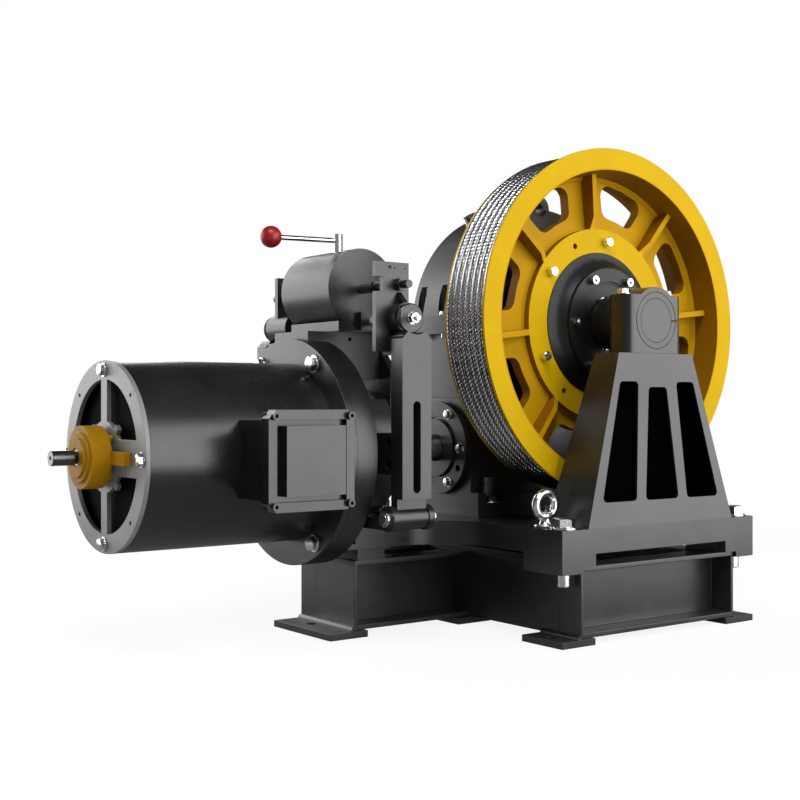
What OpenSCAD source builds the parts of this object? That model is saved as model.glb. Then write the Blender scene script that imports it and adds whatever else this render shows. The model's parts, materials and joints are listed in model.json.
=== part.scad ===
// Geared elevator traction machine: worm gear, rope sheave on an outboard pedestal, double-shoe brake
// and flange-mounted motor on a welded base frame.
// X runs along the worm and motor axis (motor towards -X), Y along the sheave axis (sheave towards -Y).
// The origin is the middle of the four main anchor holes, on the floor.

/* [Layout] */
// Height of the sheave axis above the floor
axle_z = 577; // [560:1:620]
// Distance of the worm and motor axis behind the anchor pattern's middle
worm_y = 85; // [80:1:95]
// Distance of the brake plane from the sheave axis
brake_x = 460; // [450:1:480]
// Distance of the motor's mounting face from the sheave axis
motor_face_x = 570; // [560:1:585]
// Distance of the sheave's front rim face before the anchor pattern's middle
sheave_front = 185; // [178:1:192]

/* [Base frame] */
// Spacing of the main anchor holes across the machine's sheave side
anchor_x = 460; // [440:2:480]
// Spacing of the main anchor holes along the sheave axis
anchor_y = 500; // [480:2:520]
// Diameter of the anchor holes
anchor_d = 20; // [14:1:24]
// Thickness of the foot plates
foot_t = 12; // [8:1:16]
// Width of a corner foot plate
foot_w = 80; // [70:1:90]
// Length of a corner foot plate
foot_l = 104; // [80:1:120]
// Width of the main frame
frame_w = 408; // [396:2:416]
// Length of the main frame
frame_l = 592; // [560:2:600]
// Height of the frame channels
channel_h = 126; // [120:1:130]
// Depth of the frame channels' flanges
channel_b = 55; // [45:1:65]
// Thickness of the frame channels' flanges
flange_t = 9; // [6:0.5:12]
// Thickness of the frame channels' webs and of the end plates
web_t = 7; // [5:0.5:9]
// Reach of the tail beam from the sheave axis
tail_x = 473; // [465:1:485]
// Width of the tail beam
tail_w = 182; // [170:2:190]
// Leg of the fillet welds
weld_leg = 7; // [4:0.5:9]

/* [Bed] */
// Width of the bed over the frame
bed_w = 510; // [500:2:530]
// Length of the bed along the sheave axis
bed_l = 604; // [594:2:612]
// Height of the bed casting above the frame
bed_h = 66; // [60:1:72]
// Thickness of the bed's top plate
bed_plate = 44; // [36:1:50]
// Distance that the overhanging edges reach down past the frame's top
bed_drop = 11; // [8:1:14]
// Width of the open gap below the bed's front
bed_gap_w = 348; // [300:2:360]
// Reach of the bed's brake wing from the sheave axis
wing_x = 504; // [500:1:504]
// Width of the brake wing
wing_w = 168; // [166:2:180]
// Radius of the sweep from the bed to its brake wing
sweep_r = 110; // [60:5:120]

/* [Pedestal] */
// Width of the pedestal's foot
ped_foot_w = 384; // [360:2:390]
// Width of the pedestal's head
ped_head_w = 196; // [180:2:200]
// Depth of the pedestal's head
ped_head_d = 60; // [50:1:64]
// Depth of the pedestal's foot
ped_foot_d = 108; // [90:1:110]
// Setback of the head's front face behind the foot's
ped_lean = 18; // [10:1:24]
// Wall of the pedestal casting
ped_wall = 14; // [10:1:18]
// Height of the clamp block's seat below the axis
block_drop = 61; // [56:1:70]
// Width of the clamp block
block_w = 146; // [136:1:160]
// Height of the clamp block's shoulders above the axis
block_rise = 47; // [44:1:52]
// Radius of the block's hump round the pin
hump_r = 62; // [56:1:66]
// Diameter of the outboard pin
pin_d = 82; // [70:1:90]
// Width of the clamping slit
slit_w = 3; // [2:0.5:5]

/* [Sheave] */
// Outer diameter of the sheave's rim
sheave_d = 664; // [650:2:670]
// Width of the rim
sheave_w = 123; // [120:1:128]
// Inner diameter of the rim at its front face
rim_in_d = 582; // [574:1:590]
// Number of ropes
rope_n = 7; // [5:1:7]
// Spacing of the ropes
rope_pitch = 16; // [15:0.5:16.5]
// Diameter of a rope
rope_d = 13; // [11:0.5:14]
// Diameter of the circle through the ropes' centres
rope_pcd = 640; // [636:1:644]
// Number of arms between the windows
arm_n = 8; // [6:1:9]
// Thickness of the web
web_w = 22; // [16:1:28]
// Setback of the web behind the rim's face
web_set = 60; // [56:1:64]
// Outer diameter of the raised bolting ring
ring_d = 368; // [350:1:376]
// Setback of the bolting ring behind the rim's face
ring_set = 47; // [42:1:52]
// Thickness of the gusset ribs
rib_t = 11; // [8:1:14]
// Diameter of the dark hub inside the bolting ring
hub_d = 276; // [260:1:284]
// Distance that the hub stands out before the bolting ring
hub_out = 20; // [14:1:24]
// Diameter of the bearing cover
cover_d = 212; // [200:1:220]
// Thickness of the bearing cover
cover_t = 8; // [6:1:10]
// Pitch circle of the hub bolts
hub_pcd = 320; // [316:1:324]

/* [Worm gear] */
// Module of the worm gear
gear_m = 8; // [8:1:8]
// Number of teeth of the worm wheel
wheel_n = 49; // [47:1:50]
// Pitch diameter of the worm
worm_d = 90; // [84:1:96]
// Face width of the worm wheel
wheel_w = 60; // [50:1:66]
// Length of the worm's thread
thread_l = 150; // [120:5:180]
// Play at the tooth flanks
backlash = 1.2; // [1.1:0.1:1.5]
// Width of the gear housing along the sheave axis
case_w = 114; // [108:1:124]
// Wall of the gear housing's dome
case_wall = 20; // [14:1:22]
// Oil space outside the wheel's teeth
case_gap = 18; // [12:1:20]
// Width of the worm housing across the worm
trough_w = 182; // [178:2:190]
// Half length of the gear housing along the worm
case_x = 214; // [210:1:216]
// Diameter of the worm bearing caps
cap_d = 182; // [174:1:184]
// Thickness of the worm bearing caps
cap_t = 12; // [9:1:14]
// Diameter of the main shaft
shaft_d = 90; // [80:1:96]
// Diameter of the worm's drive end and of the motor shaft
drive_d = 50; // [44:1:56]

/* [Brake] */
// Diameter of the brake drum
drum_d = 250; // [244:1:254]
// Width of the brake drum
drum_w = 58; // [54:1:58]
// Width of the brake arms
arm_w = 62; // [58:1:62]
// Thickness of the brake arms
arm_t = 33; // [28:1:36]
// Distance of the arms' outer faces from the motor axis
arm_y = 244; // [240:1:250]
// Distance of the arms' pivots from the motor axis
pivot_y = 217; // [214:1:220]
// Height of the arms' pivots above the bed
pivot_rise = 22; // [22:1:24]
// Height of the spring rods above the motor axis
rod_rise = 235; // [232:1:240]
// Diameter of the spring cups
cup_d = 56; // [52:1:60]
// Height of the solenoid axis above the motor axis
coil_rise = 295; // [292:1:302]
// Diameter of the solenoid
coil_d = 148; // [140:1:152]
// Length of the solenoid
coil_l = 160; // [150:1:166]
// Running gap between a lining and the drum with the brake closed
lining_gap = 0.3; // [0.2:0.1:0.5]
// Thickness of the linings
lining_t = 10; // [8:1:12]

/* [Motor] */
// Outer diameter of the motor shell
motor_d = 320; // [310:1:330]
// Length of the motor shell
motor_l = 346; // [330:1:366]
// Wall of the motor shell
shell_wall = 8; // [6:1:10]
// Diameter of the mounting flange
bell_d = 410; // [400:1:416]
// Thickness of the mounting flange
bell_t = 55; // [50:1:55]
// Thickness of the rear plate
plate_t = 8; // [6:1:10]
// Diameter of the encoder body
encoder_d = 104; // [96:1:110]
// Length of the encoder body
encoder_l = 34; // [28:1:38]
// Diameter of the shaft's free rear end
stub_d = 25; // [20:1:28]
// Reach of the shaft's free end past the encoder
stub_l = 50; // [40:1:60]
// Size of the square terminal box cover
box_w = 163; // [156:1:170]
// Distance of the terminal box's front from the motor axis
box_y = 255; // [240:1:265]

/* [Hidden] */
$fn = 64;

paint = [0.22, 0.22, 0.23];
paint_light = [0.42, 0.42, 0.43];
yellow = [0.93, 0.75, 0.12];
amber = [0.78, 0.55, 0.10];
steel = [0.75, 0.76, 0.78];
bronze = [0.72, 0.52, 0.25];
red = [0.65, 0.07, 0.07];
black = [0.06, 0.06, 0.07];
big = 2000;

// Clearances: a running fit, a seat, a bolt's through hole, free space, and the rim above the bed
run_gap = 0.05;
seat_gap = 0.02;
hole_gap = 0.5;
free_gap = 1.5;
rim_clear = 41;

// Least height of the rim's lips over the rope circle and least metal below it
rim_lip = 12;
rim_below = 29;

// Heights
frame_z = foot_t + channel_h;
bed_z = frame_z + bed_h;
rim_r = max(sheave_d / 2, rope_pcd / 2 + rim_lip);
axis_z = max(axle_z, bed_z + rim_clear + rim_r);
centre_dist = gear_m * wheel_n / 2 + worm_d / 2;
worm_z = axis_z - centre_dist;
rod_z = worm_z + rod_rise;
coil_z = worm_z + coil_rise;
pivot_z = bed_z + pivot_rise;
block_z = axis_z - block_drop;

// Base frame and bed
foot_edge = 25;
tail_edge = 36;
tail_foot_w = 82;
tail_y = worm_y + 17;
tail_foot_y = tail_y - 5;
tail_foot_l = tail_w + 12;
tail_anchor_x = tail_x + 24;
tail_anchor_y = tail_y + 15;
side_l = frame_l - 2 * channel_b;
bed_pad_l = 100;
wing_pad_l = 60;
wing_pad_w = 146;
bed_bolt_x = max(bed_w / 2 - 28, frame_w / 2 + 23);
bed_bolt_y = bed_l / 2 - 27;
bed_bolt_d = 24;
eye_y = bed_l / 2 - 73;
eye_d = 20;
eye_depth = 30;
eye_ring_r = 22;
eye_wire_r = 6;
eye_ring_z = 47;
foot_bolt_d = 16;
foot_bolt_l = 28;

// Pedestal
ped_y = -bed_l / 2;
ped_depth = 130;
ped_bar = 9;
ped_flange_l = 42;
ped_flange_t = 20;
block_y = ped_y + ped_lean;
block_d = ped_head_d - 2;
block_bolt_x = 55;
block_bolt_d = 14;
block_bolt_l = block_rise + block_drop + ped_wall - 2;
pin_r = pin_d / 2;
collar_r = 50;
journal_r = 35;

// Sheave
rim_y = -sheave_front;
rim_in = min(rim_in_d / 2, rope_pcd / 2 - rim_below);
draft = 7;
land_front = 5;
land_back = 4;
land_r = rope_pcd / 2 - 1;
back_r = rope_pcd / 2 + 2;
rope_seat = 0.2;
web_y = rim_y + web_set;
ring_y = rim_y + ring_set;
ring_r = ring_d / 2;
ring_back = web_y + web_w + 8;
rib_set = 33;
window_r0 = ring_r + 27;
window_r1 = rim_in - 16;
window_fillet = (window_r1 - window_r0) * 0.31;
arm_turn = 6.5;
window_margin = 44;
hub_r = hub_d / 2;
hub_y = ring_y - hub_out;
hub_back = ring_back + 16;
hub_bolt_n = 6;
hub_bolt_d = 16;
hub_turn = 36;
jack_d = 11;
pocket_r = 72;
pocket_l = 32;
groove_r = 80;
cover_screw_n = 6;
cover_screw_r = 93;
cover_screw_d = 10;
cover_screw_l = 20;
rope_first = rim_y + (sheave_w - (rope_n - 1) * rope_pitch) / 2;
shaft_front = hub_y + pocket_l + 10;

// Gear
wheel_pr = gear_m * wheel_n / 2;
wheel_tip = wheel_pr + gear_m;
worm_pr = worm_d / 2;
worm_tip = worm_pr + 0.9 * gear_m;
lead_angle = atan(gear_m / worm_d);
wheel_twist = wheel_w * tan(lead_angle) / wheel_pr * 180 / PI;
wheel_turn = 90;
rim_seat_r = wheel_pr - 34;
shaft_r = shaft_d / 2;
drive_r = drive_d / 2;
journal_worm_r = 30;
worm_bearing_w = 34;
worm_side = worm_bearing_w + 8;
case_y = worm_y - case_w / 2;
case_side = 14;
cavity_r = wheel_tip + case_gap;
dome_r = cavity_r + case_wall;
upper_x = dome_r - 20;
split_t = 18;
split_bolt_d = 10;
side_r = 100;
side_flange_r = 128;
side_flange_t = 12;
side_bolt_r = 112;
side_bolt_d = 10;
side_bolt_l = 12;
side_boss = 66;
main_seat_r = 82;
cap_r = cap_d / 2;
cap_boss_r = 56;
cap_bolt_r = 76;
cap_bolt_d = 10;
cap_bolt_l = 22;
seat_r = 62;
ledge_z = worm_z + cap_r + 9;
ledge_t = 10;
gear_foot_t = 48;
gear_foot_flange = 20;
gear_foot_w = trough_w + 44;
gear_bolt_d = 16;
gear_bolt_l = 30;
oil_d = 16;
breather_d = 22;
lug_r = 30;
lug_t = 36;
lug_hole_r = 13;
lug_y = case_y + 26;
lug_z = axis_z + dome_r + 1;
shaft_back = worm_y + case_w / 2 + side_boss - 10;

// Brake
drum_r = drum_d / 2;
shoe_r = drum_r + lining_gap + lining_t;
shoe_t = 14;
shoe_angle = 40;
arm_front = worm_y - arm_y;
arm_back = arm_front + arm_t;
arm_z0 = pivot_z + 34;
arm_round = 12;
arm_z1 = rod_z - 24;
arm_slot_w = 16;
upper_front = worm_y - 192;
upper_t = 10;
upper_x0 = brake_x - 21;
upper_x1 = brake_x + 50;
upper_z1 = coil_z + 39;
upper_notch = 26;
upper_hole_z = upper_z1 - 10;
arm_neck = 33;
pivot_front = worm_y - pivot_y;
pivot_r = 9;
eye_r = 20;
bracket_t = 12;
bracket_gap = 1;
saddle_z = worm_z + 218;
saddle_y0 = worm_y - 47;
saddle_y1 = worm_y + 67;
bell_foot_x0 = brake_x - 105;
bell_web_x0 = brake_x - drum_w / 2 - 6;
bell_foot_x1 = motor_face_x - bell_t + 3;
bell_foot_w = 114;
wall_x = brake_x - 61;
wall_t = 14;
wall_w = 164;
wall_bore = 45;
bell_bolt_d = 12;
bell_foot_rise = 60;
drum_gap = 8;
rod_r = 8;
cup_r = cup_d / 2;
cup_wall = 3.5;
cup_back = worm_y - 143;
disc_y = arm_front + 17;
disc_t = 6;
spring_wire = 2.5;
spring_r = cup_r - cup_wall - spring_wire - 1;
spring_turns = 6;
coil_r = coil_d / 2;
cradle_w = 104;
cradle_y = worm_y - coil_l / 2;
rod_seat_w = 40;
rod_seat_h = 33;
rod_seat_t = 12;
rod_grip = 22;
plunger_r = 9;
plunger_out = 38;
push_d = 14;
release_r = 9;
lever_r = 4.7;
lever_l = 116;
lever_turn = 10;
ball_r = 20;
lever_z = coil_z + coil_r + 22;

// Motor
motor_r = motor_d / 2;
shell_in = motor_r - shell_wall;
shell_x = motor_face_x + motor_l;
plate_x = shell_x + plate_t;
spoke_v = 24;
spoke_h = 60;
plate_hub_r = 60;
rear_bolt_d = 12;
boss_l = 40;
flange_split = 14;
flange_bolt_n = 6;
flange_bolt_r = motor_r + 22;
bell_r = max(bell_d / 2, flange_bolt_r + 22);
flange_bolt_d = 16;
encoder_x = plate_x + 8;
encoder_r = encoder_d / 2;
encoder_step = 8;
collar_x = encoder_x + encoder_l + encoder_step;
shaft_end = encoder_x + encoder_l + stub_l;
stub_relief = 4;
stub_step = 2.5;
stator_x0 = motor_face_x + 70;
stator_x1 = shell_x - 90;
coil_end = 26;
rotor_r = 98;
fan_x = shell_x - 8;
fan_r = shell_in - 26;
box_x = motor_face_x + motor_l / 2 - 64;
box_z = worm_z - 3;
box_cover_t = 14;
box_chamfer = 14;
box_body_w = box_w - 13;
box_body_h = box_w - 35;
box_panel_w = box_w - 51;
box_groove = 10;
box_panel_out = 13;
box_plate_t = 8;
box_screw_d = 8;

slot_z0 = arm_z0 + 10;
slot_z1 = worm_z + 92;
push_end = worm_y - coil_l / 2 - plunger_out - 0.3;
shoe_w = arm_w - 6;
win_z0 = bed_z + 44;
win_z1 = block_z - 52;
bell_foot_t = 18;
bell_toe = 26;
bracket_lift = 2;
saddle_l = motor_face_x - flange_split - wall_x + wall_t;
tap_d = 7;
bell_bore_r = 60;

module along_x(r, l, fn = 64) rotate([0, 90, 0]) cylinder(r = r, h = l, $fn = fn);
module along_y(r, l, fn = 64) rotate([-90, 0, 0]) cylinder(r = r, h = l, $fn = fn);
module tube_y(r_out, r_in, l) difference() {
  along_y(r_out, l);
  translate([0, -1, 0]) along_y(r_in, l + 2);
}
// Children repeated on a circle about the local Z axis
module circle_of(n, r, start = 0) for (i = [0 : n - 1])
  rotate(start + i * 360 / n) translate([r, 0, 0]) children();
// Frames at a point whose local Z points along +Y, -Y, +X or -X
module facing_back(p) translate(p) rotate([-90, 0, 0]) children();
module facing_front(p) translate(p) rotate([90, 0, 0]) children();
module facing_tail(p) translate(p) rotate([0, -90, 0]) children();
// The sheave's and the worm's axes as frames: local Z runs along +Y or +X
module on_axle(y) translate([0, y, axis_z]) rotate([-90, 0, 0]) children();
module on_worm(x) translate([x, worm_y, worm_z]) rotate([0, 90, 0]) children();
// The front half of the brake and the same half mirrored behind the motor axis
module both_sides() for (s = [0, 1]) translate([0, worm_y, 0]) mirror([0, s, 0]) translate([0, -worm_y, 0]) children();
module rear_side() translate([0, worm_y, 0]) mirror([0, 1, 0]) translate([0, -worm_y, 0]) children();

// Hexagon bolt: its washer stands on z = 0 and the shank goes down
module hex_bolt(d, l) {
  washer = 0.16 * d;
  cylinder(r = d, h = washer);
  translate([0, 0, washer]) cylinder(r = 0.866 * d, h = 0.65 * d, $fn = 6);
  translate([0, 0, -l]) cylinder(d = d, h = l + washer);
}
module hex_nut(d) cylinder(r = 0.866 * d, h = 0.8 * d, $fn = 6);
// Socket-head screw, seated on z = 0
module cap_screw(d, l) {
  difference() {
    cylinder(r = 0.8 * d, h = d);
    translate([0, 0, 0.4 * d]) cylinder(r = 0.45 * d, h = d, $fn = 6);
  }
  translate([0, 0, -l]) cylinder(d = d, h = l + 0.1 * d);
}
module bolt_hole(d, l) translate([0, 0, -l]) cylinder(d = d + 2 * seat_gap, h = l + 1);

// Corner b of an outline a-b-c, rounded with radius r
function unit(v) = v / norm(v);
function turn_arc(c, p, q, n) = [for (i = [0 : n])
  c + norm(p - c) * unit((1 - i / n) * (p - c) + (i / n) * (q - c))];
function rounded_corner(a, b, c, r, n = 4) =
  let (u = unit(a - b), v = unit(c - b), half = acos(u * v) / 2)
  turn_arc(b + unit(u + v) * r / sin(half), b + u * r / tan(half), b + v * r / tan(half), n);
function rounded_outline(p, r) = [for (i = [0 : len(p) - 1])
  each rounded_corner(p[(i + len(p) - 1) % len(p)], p[i], p[(i + 1) % len(p)], r)];
// Rectangle with round corners
module rounded(w, h, r) {
  square([w - 2 * r, h], center = true);
  square([w, h - 2 * r], center = true);
  for (sx = [-1, 1], sy = [-1, 1]) translate([sx * (w / 2 - r), sy * (h / 2 - r)]) circle(r = r);
}

// ---- Base frame ----
module drilled_foot(w, l, hole_x, hole_y = 0) difference() {
  translate([-w / 2, -l / 2, 0]) cube([w, l, foot_t]);
  translate([hole_x, hole_y, -1]) cylinder(d = anchor_d, h = foot_t + 2);
}

module foot_plates() color(paint) {
  for (s = [0, 1], sy = [-1, 1]) mirror([s, 0, 0])
    translate([anchor_x / 2 + foot_edge - foot_w / 2, sy * anchor_y / 2, 0])
      drilled_foot(foot_w, foot_l, foot_w / 2 - foot_edge);
  translate([-tail_anchor_x - tail_edge + tail_foot_w / 2, tail_foot_y, 0])
    drilled_foot(tail_foot_w, tail_foot_l, tail_edge - tail_foot_w / 2, tail_anchor_y - tail_foot_y);
  translate([-frame_w / 2 - tail_edge, tail_foot_y - tail_foot_l / 2, 0]) cube([foot_w, foot_w, foot_t]);
}

// Channel along +X: web in the plane y = 0, flanges towards -Y
module channel(l) difference() {
  translate([0, -channel_b, foot_t]) cube([l, channel_b, channel_h]);
  translate([-1, -channel_b - 1, foot_t + flange_t])
    cube([l + 2, channel_b - web_t + 1, channel_h - 2 * flange_t]);
}

module cross_member() {
  translate([-frame_w / 2 + web_t, -frame_l / 2 + channel_b, 0]) channel(frame_w - 2 * web_t);
  for (s = [0, 1]) mirror([s, 0, 0]) translate([frame_w / 2 - web_t, -frame_l / 2, foot_t])
    cube([web_t, channel_b, channel_h]);
}
module frame_front() color(paint_light) cross_member();
module frame_rear() color(paint) mirror([0, 1, 0]) cross_member();

module frame_sides() color(paint) for (s = [0, 1]) mirror([s, 0, 0]) difference() {
  translate([-frame_w / 2, -side_l / 2, foot_t]) cube([channel_b, side_l, channel_h]);
  translate([-frame_w / 2 + web_t, -side_l / 2 - 1, foot_t + flange_t])
    cube([channel_b, side_l + 2, channel_h - 2 * flange_t]);
}

module tail_beam() color(paint_light) {
  for (s = [0, 1]) translate([-tail_x + web_t, tail_y, 0]) mirror([0, s, 0])
    translate([0, channel_b - tail_w / 2, 0]) channel(tail_x - web_t - frame_w / 2);
  translate([-tail_x, tail_y - tail_w / 2, foot_t]) cube([web_t, tail_w, channel_h]);
}

// Weld bead along +X in the corner of z = 0 and y = 0, on the side of -Y
module weld(l) rotate([90, 0, 90]) linear_extrude(l)
  polygon(concat([[0, 0]], [for (a = [0 : 15 : 90]) weld_leg * [-cos(a), sin(a)]]));

module frame_welds() color(paint) {
  translate([-tail_x, tail_y + tail_w / 2, foot_t]) rotate(-90) weld(tail_w);
  for (s = [0, 1], t = [0, 1]) mirror([s, 0, 0]) mirror([0, t, 0])
    translate([-frame_w / 2, -anchor_y / 2 + foot_l / 2, foot_t]) rotate(-90)
      weld(frame_l / 2 - anchor_y / 2 + foot_l / 2);
}

// ---- Bed ----
module bed_outline() difference() {
  union() {
    square([bed_w, bed_l], center = true);
    translate([-wing_x, worm_y - wing_w / 2]) square([wing_x, wing_w]);
    translate([-bed_w / 2 - sweep_r, worm_y - wing_w / 2 - sweep_r])
      square([sweep_r + 1, wing_w + 2 * sweep_r]);
  }
  for (s = [-1, 1]) translate([-bed_w / 2 - sweep_r, worm_y + s * (wing_w / 2 + sweep_r)])
    circle(r = sweep_r);
}

module bed() color(paint_light) difference() {
  union() {
    translate([0, 0, bed_z - bed_plate]) linear_extrude(bed_plate) bed_outline();
    for (s = [0, 1], t = [0, 1]) mirror([s, 0, 0]) mirror([0, t, 0]) {
      translate([bed_gap_w / 2, bed_l / 2 - bed_pad_l, frame_z])
        cube([(bed_w - bed_gap_w) / 2, bed_pad_l, bed_h - bed_plate / 2]);
      translate([frame_w / 2 + free_gap, bed_l / 2 - bed_pad_l, frame_z - bed_drop])
        cube([(bed_w - frame_w) / 2 - free_gap, bed_pad_l, bed_h]);
    }
    translate([-tail_x + web_t, tail_y - tail_w / 2, frame_z]) cube([wing_pad_l, wing_pad_w, bed_h - bed_plate / 2]);
  }
  for (s = [0, 1], t = [0, 1]) mirror([s, 0, 0]) mirror([0, t, 0]) translate([bed_bolt_x, 0, 0]) {
    translate([0, bed_bolt_y, 0]) cylinder(d = bed_bolt_d + 2 * hole_gap, h = big);
    if (t == 1) translate([0, eye_y, bed_z]) bolt_hole(eye_d, eye_depth);
  }
  facing_front([-tail_x - 8, worm_y - wing_w / 2, bed_z - 31]) bolt_hole(tap_d, 2 * tap_d);
  bell_foot_places() bolt_hole(bell_bolt_d, foot_bolt_l);
  gear_foot_places() bolt_hole(gear_bolt_d, gear_bolt_l);
  pedestal_places() bolt_hole(foot_bolt_d, foot_bolt_l);
}

module bed_bolts() color(steel) for (s = [0, 1], t = [0, 1]) mirror([s, 0, 0]) mirror([0, t, 0])
  translate([bed_bolt_x, bed_bolt_y, 0]) {
    translate([0, 0, bed_z]) hex_bolt(bed_bolt_d, bed_h + bed_drop + bed_bolt_d);
    translate([0, 0, frame_z - bed_drop - 0.8 * bed_bolt_d]) hex_nut(bed_bolt_d);
  }

module eye_bolts() color(steel) for (s = [0, 1]) mirror([s, 0, 0])
  translate([bed_bolt_x, -eye_y, bed_z]) {
    translate([0, 0, -eye_depth]) cylinder(d = eye_d, h = eye_depth + 2);
    cylinder(d = 2 * eye_d, h = 6);
    translate([0, 0, 6]) cylinder(r1 = eye_d * 0.8, r2 = eye_d / 2, h = eye_ring_z - eye_ring_r - 6);
    translate([0, 0, eye_ring_z]) rotate([90, 0, 0])
      rotate_extrude() translate([eye_ring_r, 0]) circle(r = eye_wire_r, $fn = 32);
  }

// ---- Pedestal ----
module pedestal_front(inset) polygon([[-ped_foot_w / 2 + inset, bed_z], [ped_foot_w / 2 - inset, bed_z],
  [ped_head_w / 2 - inset, block_z - inset], [-ped_head_w / 2 + inset, block_z - inset]]);
module pedestal_side(y0, y1, y2, top) polygon([[y0, bed_z - 1], [y0 + ped_lean, top],
  [y1, top], [y2, bed_z - 1]]);

function lerp(a, b, t) = a + (b - a) * t;
// Half width of the pedestal's front at a height
function ped_half(z) = lerp(ped_foot_w / 2, ped_head_w / 2, (z - bed_z) / (block_z - bed_z));
function side_window() = rounded_outline([[ped_half(win_z0) - 24, win_z0], [ped_half(win_z1) - 16, win_z1],
  [ped_bar / 2 + 46, win_z1], [ped_bar / 2 + 63, win_z0]], 8);
function mid_window() = rounded_outline([[44, win_z0], [24, win_z1 - 10], [-24, win_z1 - 10], [-44, win_z0]], 8);

module pedestal() color(paint_light) difference() {
  union() {
    intersection() {
      translate([0, ped_y + ped_depth, 0]) rotate([90, 0, 0]) linear_extrude(ped_depth) pedestal_front(0);
      rotate([90, 0, 90]) translate([0, 0, -big / 2]) linear_extrude(big)
        pedestal_side(ped_y, ped_y + ped_lean + ped_head_d, ped_y + ped_foot_d, block_z);
    }
    translate([-ped_foot_w / 2 + 12, ped_y + ped_foot_d - 20, bed_z])
      cube([ped_foot_w - 24, ped_flange_l + 20, ped_flange_t]);
  }
  intersection() {
    translate([0, ped_y + ped_depth, 0]) rotate([90, 0, 0]) linear_extrude(ped_depth + 1)
      pedestal_front(ped_wall);
    rotate([90, 0, 90]) translate([0, 0, -big / 2]) linear_extrude(big)
      pedestal_side(ped_y + ped_wall, ped_y + ped_lean + ped_head_d - ped_wall,
        ped_y + ped_foot_d - ped_wall, block_z);
    translate([-big / 2, -big, bed_z + ped_flange_t]) cube([big, 2 * big, big]);
  }
  for (s = [0, 1]) mirror([s, 0, 0]) translate([0, ped_y + ped_lean + ped_wall + 8, 0]) rotate([90, 0, 0])
    linear_extrude(ped_depth) polygon(side_window());
  translate([0, ped_y + ped_lean + ped_wall + 8, 0]) rotate([90, 0, 0])
    linear_extrude(ped_depth) polygon(mid_window());
  translate([0, 0, ped_flange_t]) pedestal_places() bolt_hole(foot_bolt_d, ped_flange_t + 1);
  block_places() bolt_hole(block_bolt_d, block_bolt_l);
}

module pedestal_places() for (x = [-1, -0.4, 0.4, 1])
  translate([x * (ped_foot_w / 2 - 34), ped_y + ped_foot_d + ped_flange_l / 2, bed_z]) children();
module block_places() for (s = [-1, 1])
  translate([s * block_bolt_x, block_y + block_d / 2, axis_z + block_rise]) children();

module pedestal_bolts() color(steel) translate([0, 0, ped_flange_t])
  pedestal_places() hex_bolt(foot_bolt_d, foot_bolt_l + ped_flange_t);

module clamp_block() color(paint_light) difference() {
  intersection() {
    translate([0, block_y + block_d, 0]) rotate([90, 0, 0]) linear_extrude(block_d) union() {
      translate([-block_w / 2, block_z]) square([block_w, block_drop + block_rise]);
      translate([0, axis_z]) circle(r = hump_r);
    }
    translate([0, block_y + block_d / 2, block_z]) linear_extrude(big) rounded(block_w, block_d, 18);
  }
  translate([0, block_y - 1, axis_z]) along_y(pin_r + seat_gap, block_d + 2);
  translate([0, block_y - 1, axis_z]) tube_y(pin_r + 12, pin_r + 10.5, 2);
  translate([0, block_y - 1, axis_z - slit_w / 2]) cube([block_w, block_d + 2, slit_w]);
  block_places() bolt_hole(block_bolt_d, block_drop + block_rise + 1);
}
module block_bolts() color(steel) block_places() hex_bolt(block_bolt_d, block_bolt_l - 2);

module outboard_pin() color(paint_light) {
  translate([0, block_y, axis_z]) along_y(pin_r, block_d);
  translate([0, block_y + block_d, axis_z]) along_y(collar_r, hub_y - cover_t - block_y - block_d + 3);
  translate([0, block_y + block_d, axis_z]) along_y(journal_r, hub_y + pocket_l - 2 - block_y - block_d);
}

// ---- Sheave ----
function rope_y(i) = rope_first + i * rope_pitch;

module sheave_section() {
  difference() {
    polygon([[rim_in, rim_y], [rim_r, rim_y], [rim_r, rim_y + land_front], [land_r, rim_y + land_front],
      [land_r, rim_y + sheave_w - land_back], [back_r, rim_y + sheave_w - land_back],
      [back_r, rim_y + sheave_w], [rim_in, rim_y + sheave_w], [rim_in - draft, web_y + web_w + 8],
      [rim_in - draft - 8, web_y + web_w], [rim_in - draft - 8, web_y], [rim_in - draft, web_y - 8]]);
    for (i = [0 : rope_n - 1]) translate([rope_pcd / 2, rope_y(i)]) circle(r = rope_d / 2 + rope_seat, $fn = 32);
  }
  translate([hub_r + seat_gap, web_y]) square([rim_in - draft - hub_r, web_w]);
  translate([hub_r + seat_gap, ring_y]) square([ring_r - hub_r - seat_gap, ring_back - ring_y]);
}

// Wedge of half angle a about the local X axis
module wedge(a) polygon([[0, 0], [big * cos(a), -big * sin(a)], [big * cos(a), big * sin(a)]]);
module sector(r0, r1, a) intersection() {
  difference() {
    circle(r = r1);
    circle(r = r0);
  }
  wedge(a);
}
// Half angle of a window at a radius, beside arms of one width
function window_half(r) = 180 / arm_n - asin(window_margin / r);
function window_arc(r, shares) = [for (t = shares) polar(r, t * window_half(r))];
function window_outline() = let (o = window_arc(window_r1, [1, 0.55, 0, -0.55, -1]),
  i = window_arc(window_r0, [-1, -0.6, 0, 0.6, 1])) concat(
    rounded_corner(i[4], o[0], o[1], window_fillet), [o[1], o[2], o[3]],
    rounded_corner(o[3], o[4], i[0], window_fillet), rounded_corner(o[4], i[0], i[1], window_fillet),
    [i[1], i[2], i[3]], rounded_corner(i[3], i[4], o[0], window_fillet));

module gusset() translate([0, rib_t / 2, 0]) rotate([90, 0, 0]) linear_extrude(rib_t)
  polygon([[ring_r - 4, web_set + 2], [ring_r - 4, ring_set + 1], [ring_r + 24, rib_set],
    [rim_in - draft, rib_set - 4], [rim_in + 6, rib_set - 4], [rim_in + 6, web_set + 2]]);

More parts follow.
